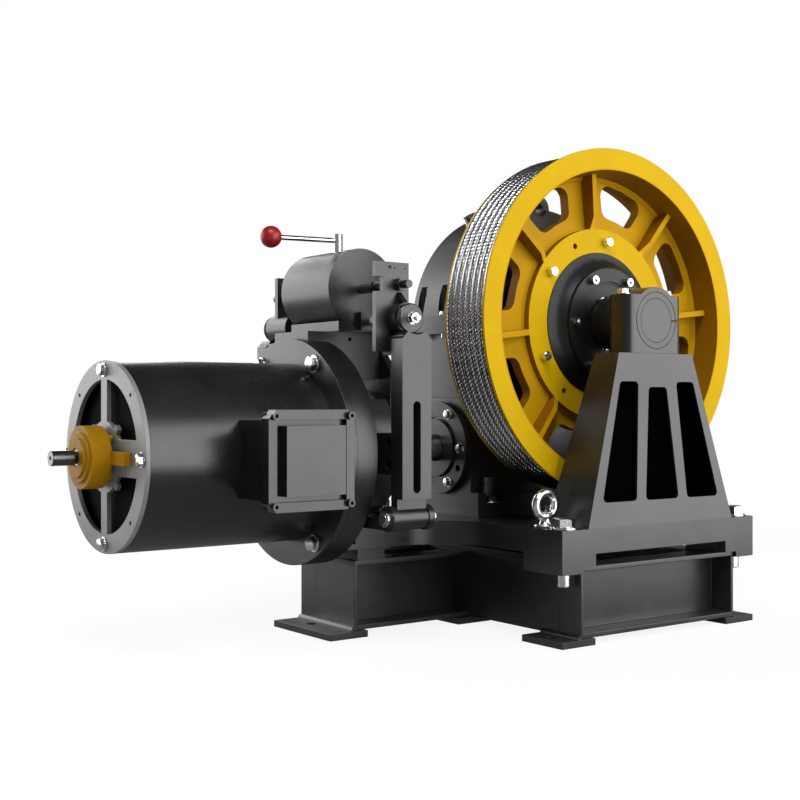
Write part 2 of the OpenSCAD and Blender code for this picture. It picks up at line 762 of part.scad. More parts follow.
module sheave() color(yellow) difference() {
  union() {
    on_axle(0) rotate_extrude() sheave_section();
    on_axle(rim_y) circle_of(arm_n, 0, -arm_turn) gusset();
  }
  on_axle(web_y - 1) for (i = [0 : arm_n - 1]) rotate((i + 0.5) * 360 / arm_n - arm_turn)
    linear_extrude(web_w + 2) polygon(window_outline());
  on_axle(ring_y) circle_of(hub_bolt_n, hub_pcd / 2, hub_turn) cylinder(d = hub_bolt_d + 2 * hole_gap, h = big);
  on_axle(ring_y - 1) circle_of(3, hub_pcd / 2, hub_turn - 30) cylinder(d = jack_d, h = big);
}

module sheave_hub() color(paint) difference() {
  on_axle(0) rotate_extrude() polygon([[0, hub_y + pocket_l], [pocket_r, hub_y + pocket_l],
    [pocket_r, hub_y], [cover_d / 2, hub_y], [cover_d / 2 + 6, hub_y + 6],
    [lerp(cover_d / 2, hub_r, 0.55), lerp(hub_y, ring_y, 0.7)], [hub_r, ring_y - 2], [hub_r, ring_back],
    [ring_r, ring_back], [ring_r, hub_back], [shaft_r + seat_gap, hub_back],
    [shaft_r + seat_gap, shaft_front], [0, shaft_front]]);
  on_axle(ring_y) circle_of(hub_bolt_n, hub_pcd / 2, hub_turn) cylinder(d = hub_bolt_d + 2 * hole_gap, h = big);
  on_axle(hub_y) rotate([180, 0, 0]) circle_of(cover_screw_n, cover_screw_r) bolt_hole(cover_screw_d, cover_screw_l);
}

module hub_cover() color(paint) difference() {
  on_axle(0) rotate_extrude() polygon([[collar_r + free_gap, hub_y], [collar_r + free_gap, hub_y - cover_t + 4],
    [groove_r - 4, hub_y - cover_t + 4], [groove_r - 4, hub_y - cover_t + 3], [groove_r, hub_y - cover_t + 3],
    [groove_r, hub_y - cover_t], [cover_d / 2, hub_y - cover_t], [cover_d / 2, hub_y]]);
  on_axle(hub_y - cover_t) rotate([180, 0, 0]) circle_of(cover_screw_n, cover_screw_r)
    bolt_hole(cover_screw_d, cover_t + 1);
}

module hub_bolts() color(steel) on_axle(ring_y) circle_of(hub_bolt_n, hub_pcd / 2, hub_turn) {
  rotate([180, 0, 0]) hex_bolt(hub_bolt_d, hub_back - ring_y + hub_bolt_d);
  translate([0, 0, hub_back - ring_y]) hex_nut(hub_bolt_d);
}
module cover_screws() color(black) on_axle(hub_y - cover_t) rotate([180, 0, 0])
  circle_of(cover_screw_n, cover_screw_r) cap_screw(cover_screw_d, cover_screw_l);

// Roller bearing about the local Z axis
module bearing(r_in, r_out, w, n) {
  t = (r_out - r_in) / 4;
  difference() {
    cylinder(r = r_out, h = w);
    translate([0, 0, -1]) cylinder(r = r_out - t, h = w + 2);
  }
  difference() {
    cylinder(r = r_in + t, h = w);
    translate([0, 0, -1]) cylinder(r = r_in, h = w + 2);
  }
  translate([0, 0, w / 8]) circle_of(n, (r_in + r_out) / 2) cylinder(r = t - seat_gap, h = 0.75 * w, $fn = 24);
}
module outboard_bearing() color(steel) on_axle(hub_y + 2)
  bearing(journal_r + run_gap, pocket_r - seat_gap, pocket_l - 8, 14);

module ropes() color(steel) for (i = [0 : rope_n - 1]) on_axle(rope_y(i))
  rotate_extrude($fn = 96) translate([rope_pcd / 2, 0]) circle(r = rope_d / 2, $fn = 24);

module main_shaft() color(steel) translate([0, shaft_front + 1, axis_z])
  along_y(shaft_r, shaft_back - shaft_front - 1);

// ---- Worm gear ----
// One tooth gap's outline in polar form, as points of the wheel's cross-section
pitch_angle = 360 / wheel_n;
function polar(r, a) = r * [cos(a), sin(a)];
function half_tooth(r) = (PI * gear_m / 4 - backlash / 4 - (r - wheel_pr) * tan(20)) / r * 180 / PI;
wheel_root = wheel_pr - 1.25 * gear_m;
function wheel_outline() = [for (i = [0 : wheel_n - 1], k = [[wheel_root, -1], [wheel_tip, -1], [wheel_tip, 1],
  [wheel_root, 1]]) polar(k[0], i * pitch_angle + k[1] * half_tooth(k[0]))];

module wheel_rim() color(bronze) difference() {
  on_axle(worm_y - wheel_w / 2) rotate(wheel_turn + wheel_twist / 2)
    linear_extrude(wheel_w, twist = wheel_twist, slices = 3, segments = len(wheel_outline())) polygon(wheel_outline());
  on_axle(worm_y - wheel_w / 2 - 1) cylinder(r = rim_seat_r + seat_gap, h = wheel_w + 2);
}

module wheel_centre() color(paint) difference() {
  on_axle(worm_y) rotate_extrude() polygon([[shaft_r + seat_gap, -wheel_w / 2 - 4], [shaft_r + 28, -wheel_w / 2 - 4],
    [shaft_r + 28, -9], [rim_seat_r - 16, -9], [rim_seat_r - 16, -wheel_w / 2], [rim_seat_r, -wheel_w / 2],
    [rim_seat_r, wheel_w / 2], [rim_seat_r - 16, wheel_w / 2], [rim_seat_r - 16, 9], [shaft_r + 28, 9],
    [shaft_r + 28, wheel_w / 2 + 4], [shaft_r + seat_gap, wheel_w / 2 + 4]]);
  on_axle(worm_y - 20) circle_of(6, (shaft_r + rim_seat_r) / 2 + 4) cylinder(r = 20, h = 40);
}

// The worm's cross-section: the thread's axial outline wrapped once round the shaft
worm_lead = PI * gear_m;
worm_root = worm_pr - 1.25 * gear_m;
function half_thread(r) = (worm_lead / 4 - backlash / 4 - (r - worm_pr) * tan(20)) / worm_lead * 360;
function flank(s) = [for (i = [0 : 5]) let (r = s > 0 ? worm_root + i * (worm_tip - worm_root) / 5 :
  worm_tip - i * (worm_tip - worm_root) / 5) polar(r, -s * half_thread(r))];
function worm_outline() = concat(flank(1), [polar(worm_tip, 0)], flank(-1),
  [for (a = [half_thread(worm_root) + 12 : 12 : 360 - half_thread(worm_root) - 6]) polar(worm_root, a)]);

module worm_shaft() color(steel) {
  on_worm(-thread_l / 2) rotate(thread_l / worm_lead * 180)
    linear_extrude(thread_l, twist = thread_l / worm_lead * 360, slices = ceil(thread_l / worm_lead * 16),
      segments = len(worm_outline())) polygon(worm_outline());
  on_worm(-thread_l / 2 - 12) cylinder(r = worm_root - 3, h = thread_l + 24);
  on_worm(-case_x + 8) cylinder(r = journal_worm_r, h = 2 * case_x - 16);
  on_worm(-brake_x + 4) cylinder(r = drive_r, h = brake_x);
}

module dome_shape(r) on_axle(case_y) cylinder(r = r, h = case_w, $fn = 96);

module case_hollow() {
  on_axle(case_y + case_side) cylinder(r = cavity_r, h = case_w - 2 * case_side, $fn = 96);
  on_axle(case_y - 1) cylinder(r = side_r + seat_gap, h = case_w + 2);
}

module gear_housing() color(paint) difference() {
  union() {
    translate([-dome_r, case_y, axis_z - split_t]) cube([2 * dome_r, case_w, split_t]);
    translate([-upper_x, case_y, ledge_z]) cube([2 * upper_x, case_w, axis_z - ledge_z]);
    translate([-case_x - 10, worm_y - trough_w / 2 - 8, ledge_z]) cube([2 * case_x + 20, trough_w + 16, ledge_t]);
    translate([-case_x, worm_y - trough_w / 2, bed_z + 1]) cube([2 * case_x, trough_w, ledge_z - bed_z]);
    translate([-case_x, worm_y - gear_foot_w / 2, bed_z]) cube([2 * case_x, gear_foot_w, gear_foot_t]);
  }
  case_hollow();
  intersection() {
    on_worm(-case_x + worm_side) cylinder(r = worm_tip + 14, h = 2 * (case_x - worm_side));
    translate([-case_x, -big, -big]) cube([2 * case_x, 2 * big, 2 * big]);
  }
  on_worm(-case_x - 1) cylinder(r = seat_r + seat_gap, h = 2 * case_x + 2);
  translate([0, 0, gear_foot_t - gear_foot_flange]) gear_foot_places() {
    bolt_hole(gear_bolt_d, gear_foot_t);
    cylinder(d = 3 * gear_bolt_d, h = gear_foot_t);
  }
  cap_places() bolt_hole(cap_bolt_d, cap_bolt_l);
  split_places() bolt_hole(split_bolt_d, big);
  side_places() bolt_hole(side_bolt_d, side_bolt_l);
  oil_places() bolt_hole(oil_d, 40);
}

module gear_cover() color(paint) difference() {
  union() {
    intersection() {
      dome_shape(dome_r);
      translate([-big / 2, -big / 2, axis_z]) cube(big);
    }
    translate([-dome_r, case_y, axis_z]) cube([2 * dome_r, case_w, split_t]);
    lug();
  }
  case_hollow();
  split_places() {
    bolt_hole(split_bolt_d, big);
    cylinder(r = split_bolt_d + 1, h = 60);
  }
  side_places() bolt_hole(side_bolt_d, side_bolt_l);
  translate([0, lug_y - lug_t, lug_z]) along_y(lug_hole_r, 2 * lug_t);
  for (y = [case_y - 1, lug_y + lug_t / 2])
    translate([0, y, lug_z]) along_y(lug_hole_r + 2, y < lug_y ? lug_y - lug_t / 2 - y : case_w);
  breather_place() bolt_hole(breather_d, 2 * case_wall);
}
module lug() translate([0, lug_y + lug_t / 2, axis_z]) rotate([90, 0, 0]) linear_extrude(lug_t) {
  translate([0, lug_z - axis_z]) circle(r = lug_r);
  translate([-lug_r, cavity_r + 4]) square([2 * lug_r, lug_z - axis_z - cavity_r - 4]);
}

module gear_foot_places() for (s = [-1, 1], t = [-1, 1])
  translate([s * (case_x - 40), worm_y + t * (gear_foot_w / 2 - 14), bed_z]) children();
module cap_places() for (s = [0, 1]) mirror([s, 0, 0]) facing_tail([-case_x, worm_y, worm_z])
  circle_of(6, cap_bolt_r, 30) children();
module split_places() for (s = [-1, 1], t = [-1, 1])
  translate([s * (dome_r - 8), worm_y + t * (case_w / 2 - 24), axis_z + split_t]) children();
module side_places() for (t = [0, 1]) both_ends(t) facing_front([0, case_y, axis_z])
  circle_of(8, side_bolt_r, 22.5) children();
module both_ends(t) translate([0, worm_y, 0]) mirror([0, t, 0]) translate([0, -worm_y, 0]) children();
module breather_place() translate([-dome_r * sin(32), worm_y, axis_z + dome_r * cos(32)]) rotate([0, -32, 0]) children();
module oil_places() for (z = [bed_z + gear_foot_t + 26, worm_z + 40]) facing_back([120, worm_y + trough_w / 2, z]) children();

module housing_bolts() color(steel) {
  split_places() {
    hex_bolt(split_bolt_d, 2 * split_t);
    translate([0, 0, -2 * split_t - 0.8 * split_bolt_d]) hex_nut(split_bolt_d);
  }
  translate([0, 0, gear_foot_t - gear_foot_flange]) gear_foot_places()
    hex_bolt(gear_bolt_d, gear_bolt_l + gear_foot_t - gear_foot_flange - 2);
}

module side_cover(boss_l) {
  difference() {
    translate([0, case_y, axis_z]) union() {
      translate([0, -side_flange_t, 0]) along_y(side_flange_r, side_flange_t);
      translate([0, -boss_l, 0]) along_y(side_r - 6, boss_l);
      along_y(side_r, case_side);
    }
    translate([0, case_y - boss_l - 1, axis_z]) along_y(shaft_r + free_gap, big);
    translate([0, case_y - boss_l + 8, axis_z]) along_y(main_seat_r, big);
    facing_front([0, case_y - side_flange_t, axis_z]) circle_of(8, side_bolt_r, 22.5)
      bolt_hole(side_bolt_d, side_flange_t + 1);
  }
  facing_front([0, case_y - side_flange_t, axis_z]) circle_of(8, side_bolt_r, 22.5)
    hex_bolt(side_bolt_d, side_bolt_l + side_flange_t - 2);
}
module side_covers() color(paint) {
  side_cover(side_boss);
  rear_side() side_cover(side_boss);
}

module main_bearings() color(steel) for (t = [0, 1]) both_ends(t) on_axle(case_y - side_boss + 9)
  bearing(shaft_r + run_gap, main_seat_r - seat_gap, side_boss + case_side - 12, 16);

module worm_cap() difference() {
  facing_tail([-case_x, worm_y, worm_z]) union() {
    cylinder(r = cap_r, h = cap_t);
    cylinder(r = cap_boss_r, h = cap_t + 5);
    translate([0, 0, -6]) cylinder(r = seat_r, h = 7);
  }
  facing_tail([-case_x, worm_y, worm_z]) {
    translate([0, 0, -10]) cylinder(r = drive_r + free_gap, h = big);
    translate([0, 0, cap_t - 3]) difference() {
      cylinder(r = cap_boss_r + 5, h = big);
      cylinder(r = cap_boss_r + 1, h = big);
    }
  }
  facing_tail([-case_x - cap_t, worm_y, worm_z]) {
    circle_of(6, cap_bolt_r, 30) bolt_hole(cap_bolt_d, cap_t + 8);
    circle_of(2, cap_bolt_r, 30 + 30) bolt_hole(cap_bolt_d + 3, cap_t + 1);
  }
}
module worm_caps() color(paint_light) {
  worm_cap();
  mirror([1, 0, 0]) difference() {
    facing_tail([-case_x, worm_y, worm_z]) union() {
      cylinder(r = cap_r, h = cap_t);
      cylinder(r = cap_boss_r, h = cap_t + 12);
      translate([0, 0, -6]) cylinder(r = seat_r, h = 7);
    }
    facing_tail([-case_x - cap_t, worm_y, worm_z]) circle_of(6, cap_bolt_r, 30) bolt_hole(cap_bolt_d, cap_t + 8);
  }
}
module cap_bolts() color(steel) for (s = [0, 1]) mirror([s, 0, 0])
  facing_tail([-case_x - cap_t, worm_y, worm_z]) circle_of(6, cap_bolt_r, 30)
    hex_bolt(cap_bolt_d, cap_bolt_l + cap_t - 2);

module worm_bearings() color(steel) for (s = [0, 1]) mirror([s, 0, 0]) on_worm(-case_x + 7)
  bearing(journal_worm_r + run_gap, seat_r, worm_bearing_w, 14);

module oil_fittings() color(steel) {
  oil_places() hex_bolt(oil_d, 30);
  breather_place() {
    translate([0, 0, -case_wall + 2]) cylinder(d = breather_d, h = case_wall);
    cylinder(r = breather_d * 0.8, h = 6, $fn = 6);
    translate([0, 0, 6]) cylinder(r = breather_d * 0.7, h = 16);
  }
}

module tube_on_worm(x, r_out, r_in, l) on_worm(-x) difference() {
  cylinder(r = r_out, h = l);
  translate([0, 0, -1]) cylinder(r = r_in, h = l + 2);
}

// ---- Rotating input line ----
module brake_drum() color(steel) difference() {
  on_worm(-brake_x) rotate_extrude() polygon([[drive_r + seat_gap, -drum_w / 2], [drive_r + 20, -drum_w / 2],
    [drive_r + 20, -6], [drum_r - 12, -6], [drum_r - 12, -drum_w / 2], [drum_r, -drum_w / 2],
    [drum_r, drum_w / 2], [drum_r - 12, drum_w / 2], [drum_r - 12, 6], [drive_r + 20, 6],
    [drive_r + 20, drum_w / 2], [drive_r + seat_gap, drum_w / 2]]);
  on_worm(-brake_x - 10) circle_of(6, (drum_r + drive_r) / 2 + 4) cylinder(r = 13, h = 20);
}

module motor_shaft() color(steel) difference() {
  union() {
    on_worm(-plate_x + 1) cylinder(r = drive_r, h = plate_x - brake_x - 3);
    on_worm(-shaft_end) cylinder(d = stub_d, h = shaft_end - collar_x - stub_relief);
    on_worm(-shaft_end) cylinder(d = stub_d - 2 * stub_step, h = shaft_end - plate_x);
    on_worm(-collar_x + 2) cylinder(d = stub_d + 2 * stub_step, h = collar_x - plate_x);
  }
  on_worm(-shaft_end - 1) cylinder(r = 3, h = 11);
}
module motor_rotor() color(steel) on_worm(-stator_x1) difference() {
  cylinder(r = rotor_r, h = stator_x1 - stator_x0);
  translate([0, 0, -1]) cylinder(r = drive_r + seat_gap, h = big);
  translate([0, 0, -1]) circle_of(12, rotor_r - 22) cylinder(r = 7, h = big, $fn = 24);
}
module motor_fan() color(black) on_worm(-fan_x) {
  difference() {
    cylinder(r = drive_r + 16, h = 30);
    translate([0, 0, -1]) cylinder(r = drive_r + seat_gap, h = 32);
  }
  difference() {
    cylinder(r = fan_r, h = 4);
    translate([0, 0, -1]) cylinder(r = drive_r + 8, h = 6);
  }
  circle_of(9, drive_r + 14) translate([0, -2, 0]) cube([fan_r - drive_r - 15, 4, 28]);
}
module motor_stator() color(bronze) {
  on_worm(-stator_x1) difference() {
    cylinder(r = shell_in - seat_gap, h = stator_x1 - stator_x0);
    translate([0, 0, -1]) cylinder(r = rotor_r + 1, h = big);
  }
  for (x = [stator_x1 + coil_end, stator_x0]) on_worm(-x) difference() {
    cylinder(r = shell_in - 10, h = coil_end);
    translate([0, 0, -1]) cylinder(r = rotor_r + 10, h = big);
  }
}
module motor_shell() color(paint_light) difference() {
  union() {
    tube_on_worm(shell_x, motor_r, shell_in, motor_l);
    on_worm(-shell_x) circle_of(4, 0.9 * motor_r) cylinder(r = rear_bolt_d, h = boss_l);
  }
  translate([-box_x, worm_y - motor_r - 1, worm_z]) along_y(30, shell_wall + 6);
  rear_plate_places() bolt_hole(rear_bolt_d, plate_t + boss_l - 6);
}

// Quarter window of the rear plate, between two spokes
module plate_window() difference() {
  intersection() {
    circle(r = 0.8 * motor_r);
    translate([spoke_v / 2, spoke_h / 2]) square(big);
  }
  circle(r = plate_hub_r);
  rotate(45) translate([plate_hub_r - 4, -6]) square([14, 12]);
}
module rear_plate() color(paint_light) difference() {
  on_worm(-plate_x) cylinder(r = motor_r, h = plate_t);
  for (a = [0, 180], s = [0, 1]) on_worm(-plate_x - 1) rotate(a + 90) mirror([s, 0, 0])
    linear_extrude(plate_t + 2) plate_window();
  on_worm(-plate_x - 1) cylinder(r = drive_r + free_gap, h = plate_t + 2);
  on_worm(-plate_x - 1) circle_of(4, 0.9 * motor_r, 45) cylinder(r = 3.5, h = plate_t + 2);
  rear_plate_places() bolt_hole(rear_bolt_d, plate_t + 1);
}
module rear_plate_places() on_worm(-plate_x) rotate([180, 0, 0]) circle_of(4, 0.9 * motor_r) children();
module rear_plate_bolts() color(steel) {
  rear_plate_places() hex_bolt(rear_bolt_d, plate_t + boss_l - 8);
}

module motor_flange() color(paint_light) difference() {
  on_worm(-motor_face_x) cylinder(r = bell_r, h = flange_split);
  on_worm(-motor_face_x - 1) cylinder(r = drive_r + free_gap, h = bell_t);
  flange_places() bolt_hole(flange_bolt_d, bell_t);
}
module flange_places() on_worm(-motor_face_x) rotate([180, 0, 0])
  circle_of(flange_bolt_n, flange_bolt_r, 180 / flange_bolt_n) children();
module flange_bolts() color(steel) {
  flange_places() hex_bolt(flange_bolt_d, bell_t - 6);
  translate([0, 0, bell_foot_t]) bell_foot_places() hex_bolt(bell_bolt_d, foot_bolt_l + bell_foot_t - 2);
}

// Cradle between the motor flange and the bed: ring, saddle above the drum, feet beside it, arm brackets
module bell_foot_places() both_sides() for (x = [bell_foot_x0 + 15, bell_foot_x0 + 47])
  translate([-x, worm_y - bell_foot_w / 2 - bell_toe / 2, bed_z]) children();

module pivot_bracket(x) translate([-x, 0, 0]) rotate([90, 0, 90]) linear_extrude(bracket_t) {
  translate([pivot_front, pivot_z]) circle(r = eye_r + 2);
  translate([pivot_front, bed_z + bracket_lift]) square([pivot_y - 20, pivot_z - bed_z - bracket_lift]);
}

// Wall at the saddle's inner end, narrow between the foot bolts and wide above them
module end_wall() translate([-wall_x, worm_y, 0]) rotate([90, 0, 90]) linear_extrude(wall_t) {
  translate([-bell_foot_w / 2, bed_z]) square([bell_foot_w, saddle_z - bed_z - 40]);
  polygon([[-bell_foot_w / 2, bed_z + bell_foot_rise - 20], [-wall_w / 2, bed_z + bell_foot_rise + 6],
    [-wall_w / 2, saddle_z - 70], [saddle_y0 - worm_y, saddle_z - 30], [saddle_y0 - worm_y, saddle_z],
    [saddle_y1 - worm_y, saddle_z], [saddle_y1 - worm_y, saddle_z - 30], [wall_w / 2, saddle_z - 70],
    [wall_w / 2, bed_z + bell_foot_rise + 6], [bell_foot_w / 2, bed_z + bell_foot_rise - 20]]);
}

module bell_housing() color(paint) difference() {
  union() {
    on_worm(-motor_face_x + flange_split) cylinder(r = bell_r, h = bell_t - flange_split);
    translate([-motor_face_x + flange_split, saddle_y0, worm_z + drum_r + drum_gap])
      cube([saddle_l, saddle_y1 - saddle_y0, saddle_z - worm_z - drum_r - drum_gap]);
    end_wall();
    translate([-bell_foot_x1, worm_y - bell_foot_w / 2, bed_z])
      cube([bell_foot_x1 - bell_web_x0, bell_foot_w, bell_foot_rise]);
    translate([-bell_foot_x1, worm_y - bell_foot_w / 2 - bell_toe, bed_z])
      cube([bell_foot_x1 - bell_foot_x0, bell_foot_w + 2 * bell_toe, bell_foot_t]);
    both_sides() {
      pivot_bracket(brake_x + arm_w / 2 + bracket_gap + bracket_t);
      pivot_bracket(brake_x - arm_w / 2 - bracket_gap);
    }
  }
  on_worm(-motor_face_x + flange_split + 10) cylinder(r = drum_r + drum_gap + 7, h = bell_t - flange_split - 10);
  on_worm(-motor_face_x + bell_t - 1) cylinder(r = drum_r + drum_gap, h = motor_face_x - bell_t + 1 - wall_x);
  on_worm(-motor_face_x) cylinder(r = bell_bore_r, h = bell_t);
  on_worm(-wall_x - 1) cylinder(r = wall_bore, h = wall_t + 2);
  facing_front([-brake_x - 5, saddle_y0, saddle_z - 13]) bolt_hole(tap_d, 2 * tap_d);
  flange_places() bolt_hole(flange_bolt_d, bell_t + 20);
  both_sides() translate([-big / 2, pivot_front, pivot_z]) along_x(pivot_r + seat_gap, big);
  translate([0, 0, bell_foot_t]) bell_foot_places() bolt_hole(bell_bolt_d, bell_foot_t + 1);
}

module box_frame(y) translate([-box_x, y, box_z]) rotate([90, 0, 0]) children();
module chamfered(w, c) polygon([for (q = [0 : 3], k = [0, 1]) let (p = k == 0 ? [w / 2, -w / 2 + c] :
  [w / 2, w / 2 - c]) [p[0] * cos(90 * q) - p[1] * sin(90 * q), p[0] * sin(90 * q) + p[1] * cos(90 * q)]]);

module terminal_box() color(paint) difference() {
  union() {
    box_frame(worm_y) linear_extrude(box_y - box_cover_t) square([box_body_w, box_body_h], center = true);
    box_frame(worm_y) translate([0, 0, box_y - box_cover_t - box_plate_t])
      linear_extrude(box_plate_t) chamfered(box_w, box_chamfer);
  }
  on_worm(-shell_x) cylinder(r = motor_r + seat_gap, h = motor_l);
  box_frame(worm_y) linear_extrude(big) square([box_body_w - 16, box_body_h - 16], center = true);
  box_screws_at() bolt_hole(box_screw_d, box_cover_t + box_plate_t + 1);
}
module box_screws_at() box_frame(worm_y - box_y) for (q = [0 : 3])
  rotate(45 + 90 * q) translate([(box_w / 2 - 10) * sqrt(2), 0, 0]) children();
module box_cover() color(paint_light) {
  difference() {
    union() {
      box_frame(worm_y - box_y + box_cover_t) linear_extrude(box_cover_t) chamfered(box_w, box_chamfer);
      box_frame(worm_y - box_y) linear_extrude(box_panel_out) square(box_panel_w, center = true);
    }
    box_frame(worm_y - box_y + box_cover_t - 4) linear_extrude(box_cover_t) difference() {
      square(box_panel_w + 2 * box_groove, center = true);
      square(box_panel_w, center = true);
    }
    box_screws_at() bolt_hole(box_screw_d, box_cover_t + 1);
    box_frame(worm_y - box_y + box_cover_t + 1)
      linear_extrude(box_cover_t + 5) square([box_panel_w - 12, box_body_h - 24], center = true);
  }
  box_screws_at() {
    cap_screw(box_screw_d, box_cover_t + box_plate_t + 10);
    translate([0, 0, -box_cover_t - box_plate_t - 0.8 * box_screw_d]) hex_nut(box_screw_d);
  }
}

module encoder() color(amber) difference() {
  union() {
    on_worm(-encoder_x - encoder_l) cylinder(r = encoder_r, h = encoder_l);
    on_worm(-encoder_x - encoder_l - encoder_step) cylinder(r = encoder_r * 0.64, h = encoder_step + 1);
    on_worm(-encoder_x - encoder_l - encoder_step / 2) cylinder(r = encoder_r * 0.8, h = encoder_step);
    translate([-encoder_x - 4, worm_y - encoder_r - 52, worm_z - 11]) cube([4, 60, 22]);
    translate([-encoder_x - 4, worm_y - encoder_r - 52, worm_z - 11]) cube([12, 10, 22]);
    for (a = [45 : 90 : 315]) on_worm(-encoder_x - 1) rotate(a) translate([plate_hub_r - 16, 0, 0]) cylinder(r = 6, h = 9);
  }
  on_worm(-shaft_end) cylinder(r = stub_d / 2 + stub_step + run_gap, h = stub_l + encoder_l + 1);
}

// ---- Brake ----
module arm() difference() {
  union() {
    translate([-brake_x, arm_front + arm_t, 0]) rotate([90, 0, 0]) linear_extrude(arm_t)
      polygon([[-arm_w / 2, arm_z0], [arm_w / 2, arm_z0], [arm_w / 2, arm_z1 - arm_round],
        [arm_w / 2 - arm_round, arm_z1], [arm_round - arm_w / 2, arm_z1], [-arm_w / 2, arm_z1 - arm_round]]);
    translate([-brake_x - arm_w / 2 + 4, arm_front + 4, arm_z1 - arm_neck - 6])
      cube([arm_w - 8, upper_front - arm_front + upper_t - 4, arm_neck]);
    translate([-upper_x1, upper_front, arm_z1 - arm_neck]) cube([upper_x1 - upper_x0, upper_t, upper_z1 - arm_z1 + arm_neck]);
    translate([-brake_x, 0, rod_z]) {
      translate([0, disc_y + disc_t + 5, 0]) along_y(cup_r, cup_back - disc_y - disc_t - 5);
      translate([-upper_t / 2, 0, 0]) rotate([90, 0, 90]) linear_extrude(upper_t)
        polygon([[disc_y + disc_t + 6, cup_r - 4], [upper_front + 1, cup_r + 20], [upper_front + 1, cup_r - 4]]);
    }
    translate([-brake_x - arm_w / 2, pivot_front, pivot_z]) along_x(eye_r, arm_w);
    translate([-brake_x - arm_w / 2, pivot_front - 12, pivot_z]) cube([arm_w, arm_back - pivot_front + 12, 40]);
  }
  translate([-brake_x, 0, rod_z]) {
    translate([0, disc_y - 1, 0]) along_y(cup_r - cup_wall, cup_back - disc_y - 5);
    translate([0, disc_y, 0]) along_y(rod_r + 4, 200);
  }
  translate([-brake_x, arm_front - 1, rod_z]) along_y(cup_r + 1, disc_y + disc_t + 5 - arm_front + 1);
  translate([-brake_x - 1 - arm_w / 2, pivot_front, pivot_z]) along_x(pivot_r + run_gap, arm_w + 2);
  translate([-brake_x, arm_front - 1, coil_z]) along_y(push_d / 2 + seat_gap, 200);
  translate([-upper_x1 - 1, upper_front - 1, coil_z - upper_notch / 2]) cube([upper_notch / 2 + 4, upper_t + 2, upper_notch]);
  for (x = [[-20, 7], [-10, 3], [13, 3]]) translate([-brake_x + x[0], upper_front - 1, upper_hole_z]) along_y(x[1] / 2, upper_t + 2, 24);
  translate([-brake_x, arm_front - 1, 0]) rotate([-90, 0, 0]) linear_extrude(arm_t + 2) {
    translate([0, -(slot_z0 + slot_z1) / 2]) square([arm_slot_w, slot_z1 - slot_z0 - arm_slot_w], center = true);
    for (z = [slot_z0 + arm_slot_w / 2, slot_z1 - arm_slot_w / 2]) translate([0, -z]) circle(d = arm_slot_w);
  }
}

module push_bolt() translate([-brake_x, 0, coil_z]) {
  translate([0, upper_front - 30, 0]) along_y(push_d / 2, push_end - upper_front + 30 - 8);
  translate([0, upper_front - 0.8 * push_d, 0]) rotate([-90, 0, 0]) hex_nut(push_d);
  translate([0, upper_front + upper_t, 0]) rotate([-90, 0, 0]) hex_nut(push_d);
  translate([0, push_end - 8, 0]) rotate([-90, 0, 0]) cylinder(r = 0.866 * push_d, h = 8, $fn = 6);
}

module front_arm() color(paint_light) {
  arm();
  push_bolt();
}
// The rear arm is the front one turned half round
module rear_arm() color(paint) translate([-brake_x, worm_y, 0]) rotate(180) translate([brake_x, -worm_y, 0]) {
  arm();
  push_bolt();
}

// Shoe facing the front of the drum, with its lining and the pad that carries it on the arm
module shoe() {
  on_worm(-brake_x - shoe_w / 2) rotate(-90) linear_extrude(shoe_w)
    sector(drum_r + lining_gap, shoe_r - seat_gap, shoe_angle - 4);
  difference() {
    union() {
      on_worm(-brake_x - shoe_w / 2) rotate(-90) linear_extrude(shoe_w) sector(shoe_r, shoe_r + shoe_t, shoe_angle);
      translate([-brake_x - shoe_w / 2 + 6, arm_back, worm_z - 36]) cube([shoe_w - 12, worm_y - shoe_r - 6 - arm_back, 72]);
    }
    on_worm(-brake_x - shoe_w / 2 - 1) cylinder(r = shoe_r - 0.01, h = shoe_w + 2);
    translate([-brake_x - shoe_w, arm_back + 14, worm_z]) rotate([90, 0, 90]) linear_extrude(2 * shoe_w)
      for (s = [-1, 1]) translate([6, s * 18]) circle(r = 9);
  }
}
module front_shoe() color(paint) shoe();
module rear_shoe() color(paint) rear_side() shoe();

module pivot_pins() color(steel) both_sides() {
  w = arm_w + 2 * bracket_gap + 2 * bracket_t;
  translate([-brake_x - w / 2 - 9, pivot_front, pivot_z]) along_x(pivot_r, w + 18);
  translate([-brake_x - w / 2 - 8, pivot_front, pivot_z]) along_x(pivot_r + 5, 8);
  translate([-brake_x + w / 2, pivot_front, pivot_z]) along_x(pivot_r + 5, 8);
}

// Coil spring along +Y as a swept circle
function spring_point(t, y0, l) = [spring_r * cos(360 * spring_turns * t), y0 + l * t, spring_r * sin(360 * spring_turns * t)];
module spring(y0, l) {
  n = spring_turns * 16;
  m = 8;
  function section(i) = let (a = 360 * spring_turns * i / n) [for (k = [0 : m - 1])
    [(spring_r + spring_wire * cos(360 * k / m)) * cos(a), y0 + l * i / n + spring_wire * sin(360 * k / m),
     (spring_r + spring_wire * cos(360 * k / m)) * sin(a)]];
  polyhedron([for (i = [0 : n]) each section(i)], concat([[for (k = [0 : m - 1]) k]],
    [for (i = [0 : n - 1], k = [0 : m - 1]) [i * m + k, (i + 1) * m + k, (i + 1) * m + (k + 1) % m, i * m + (k + 1) % m]],
    [[for (k = [m - 1 : -1 : 0]) n * m + k]]));
}
module brake_springs() color(steel) both_sides() translate([-brake_x, 0, rod_z])
  spring(disc_y + disc_t + spring_wire + 0.2, cup_back - 6 - disc_y - disc_t - 2 * spring_wire - 0.4);

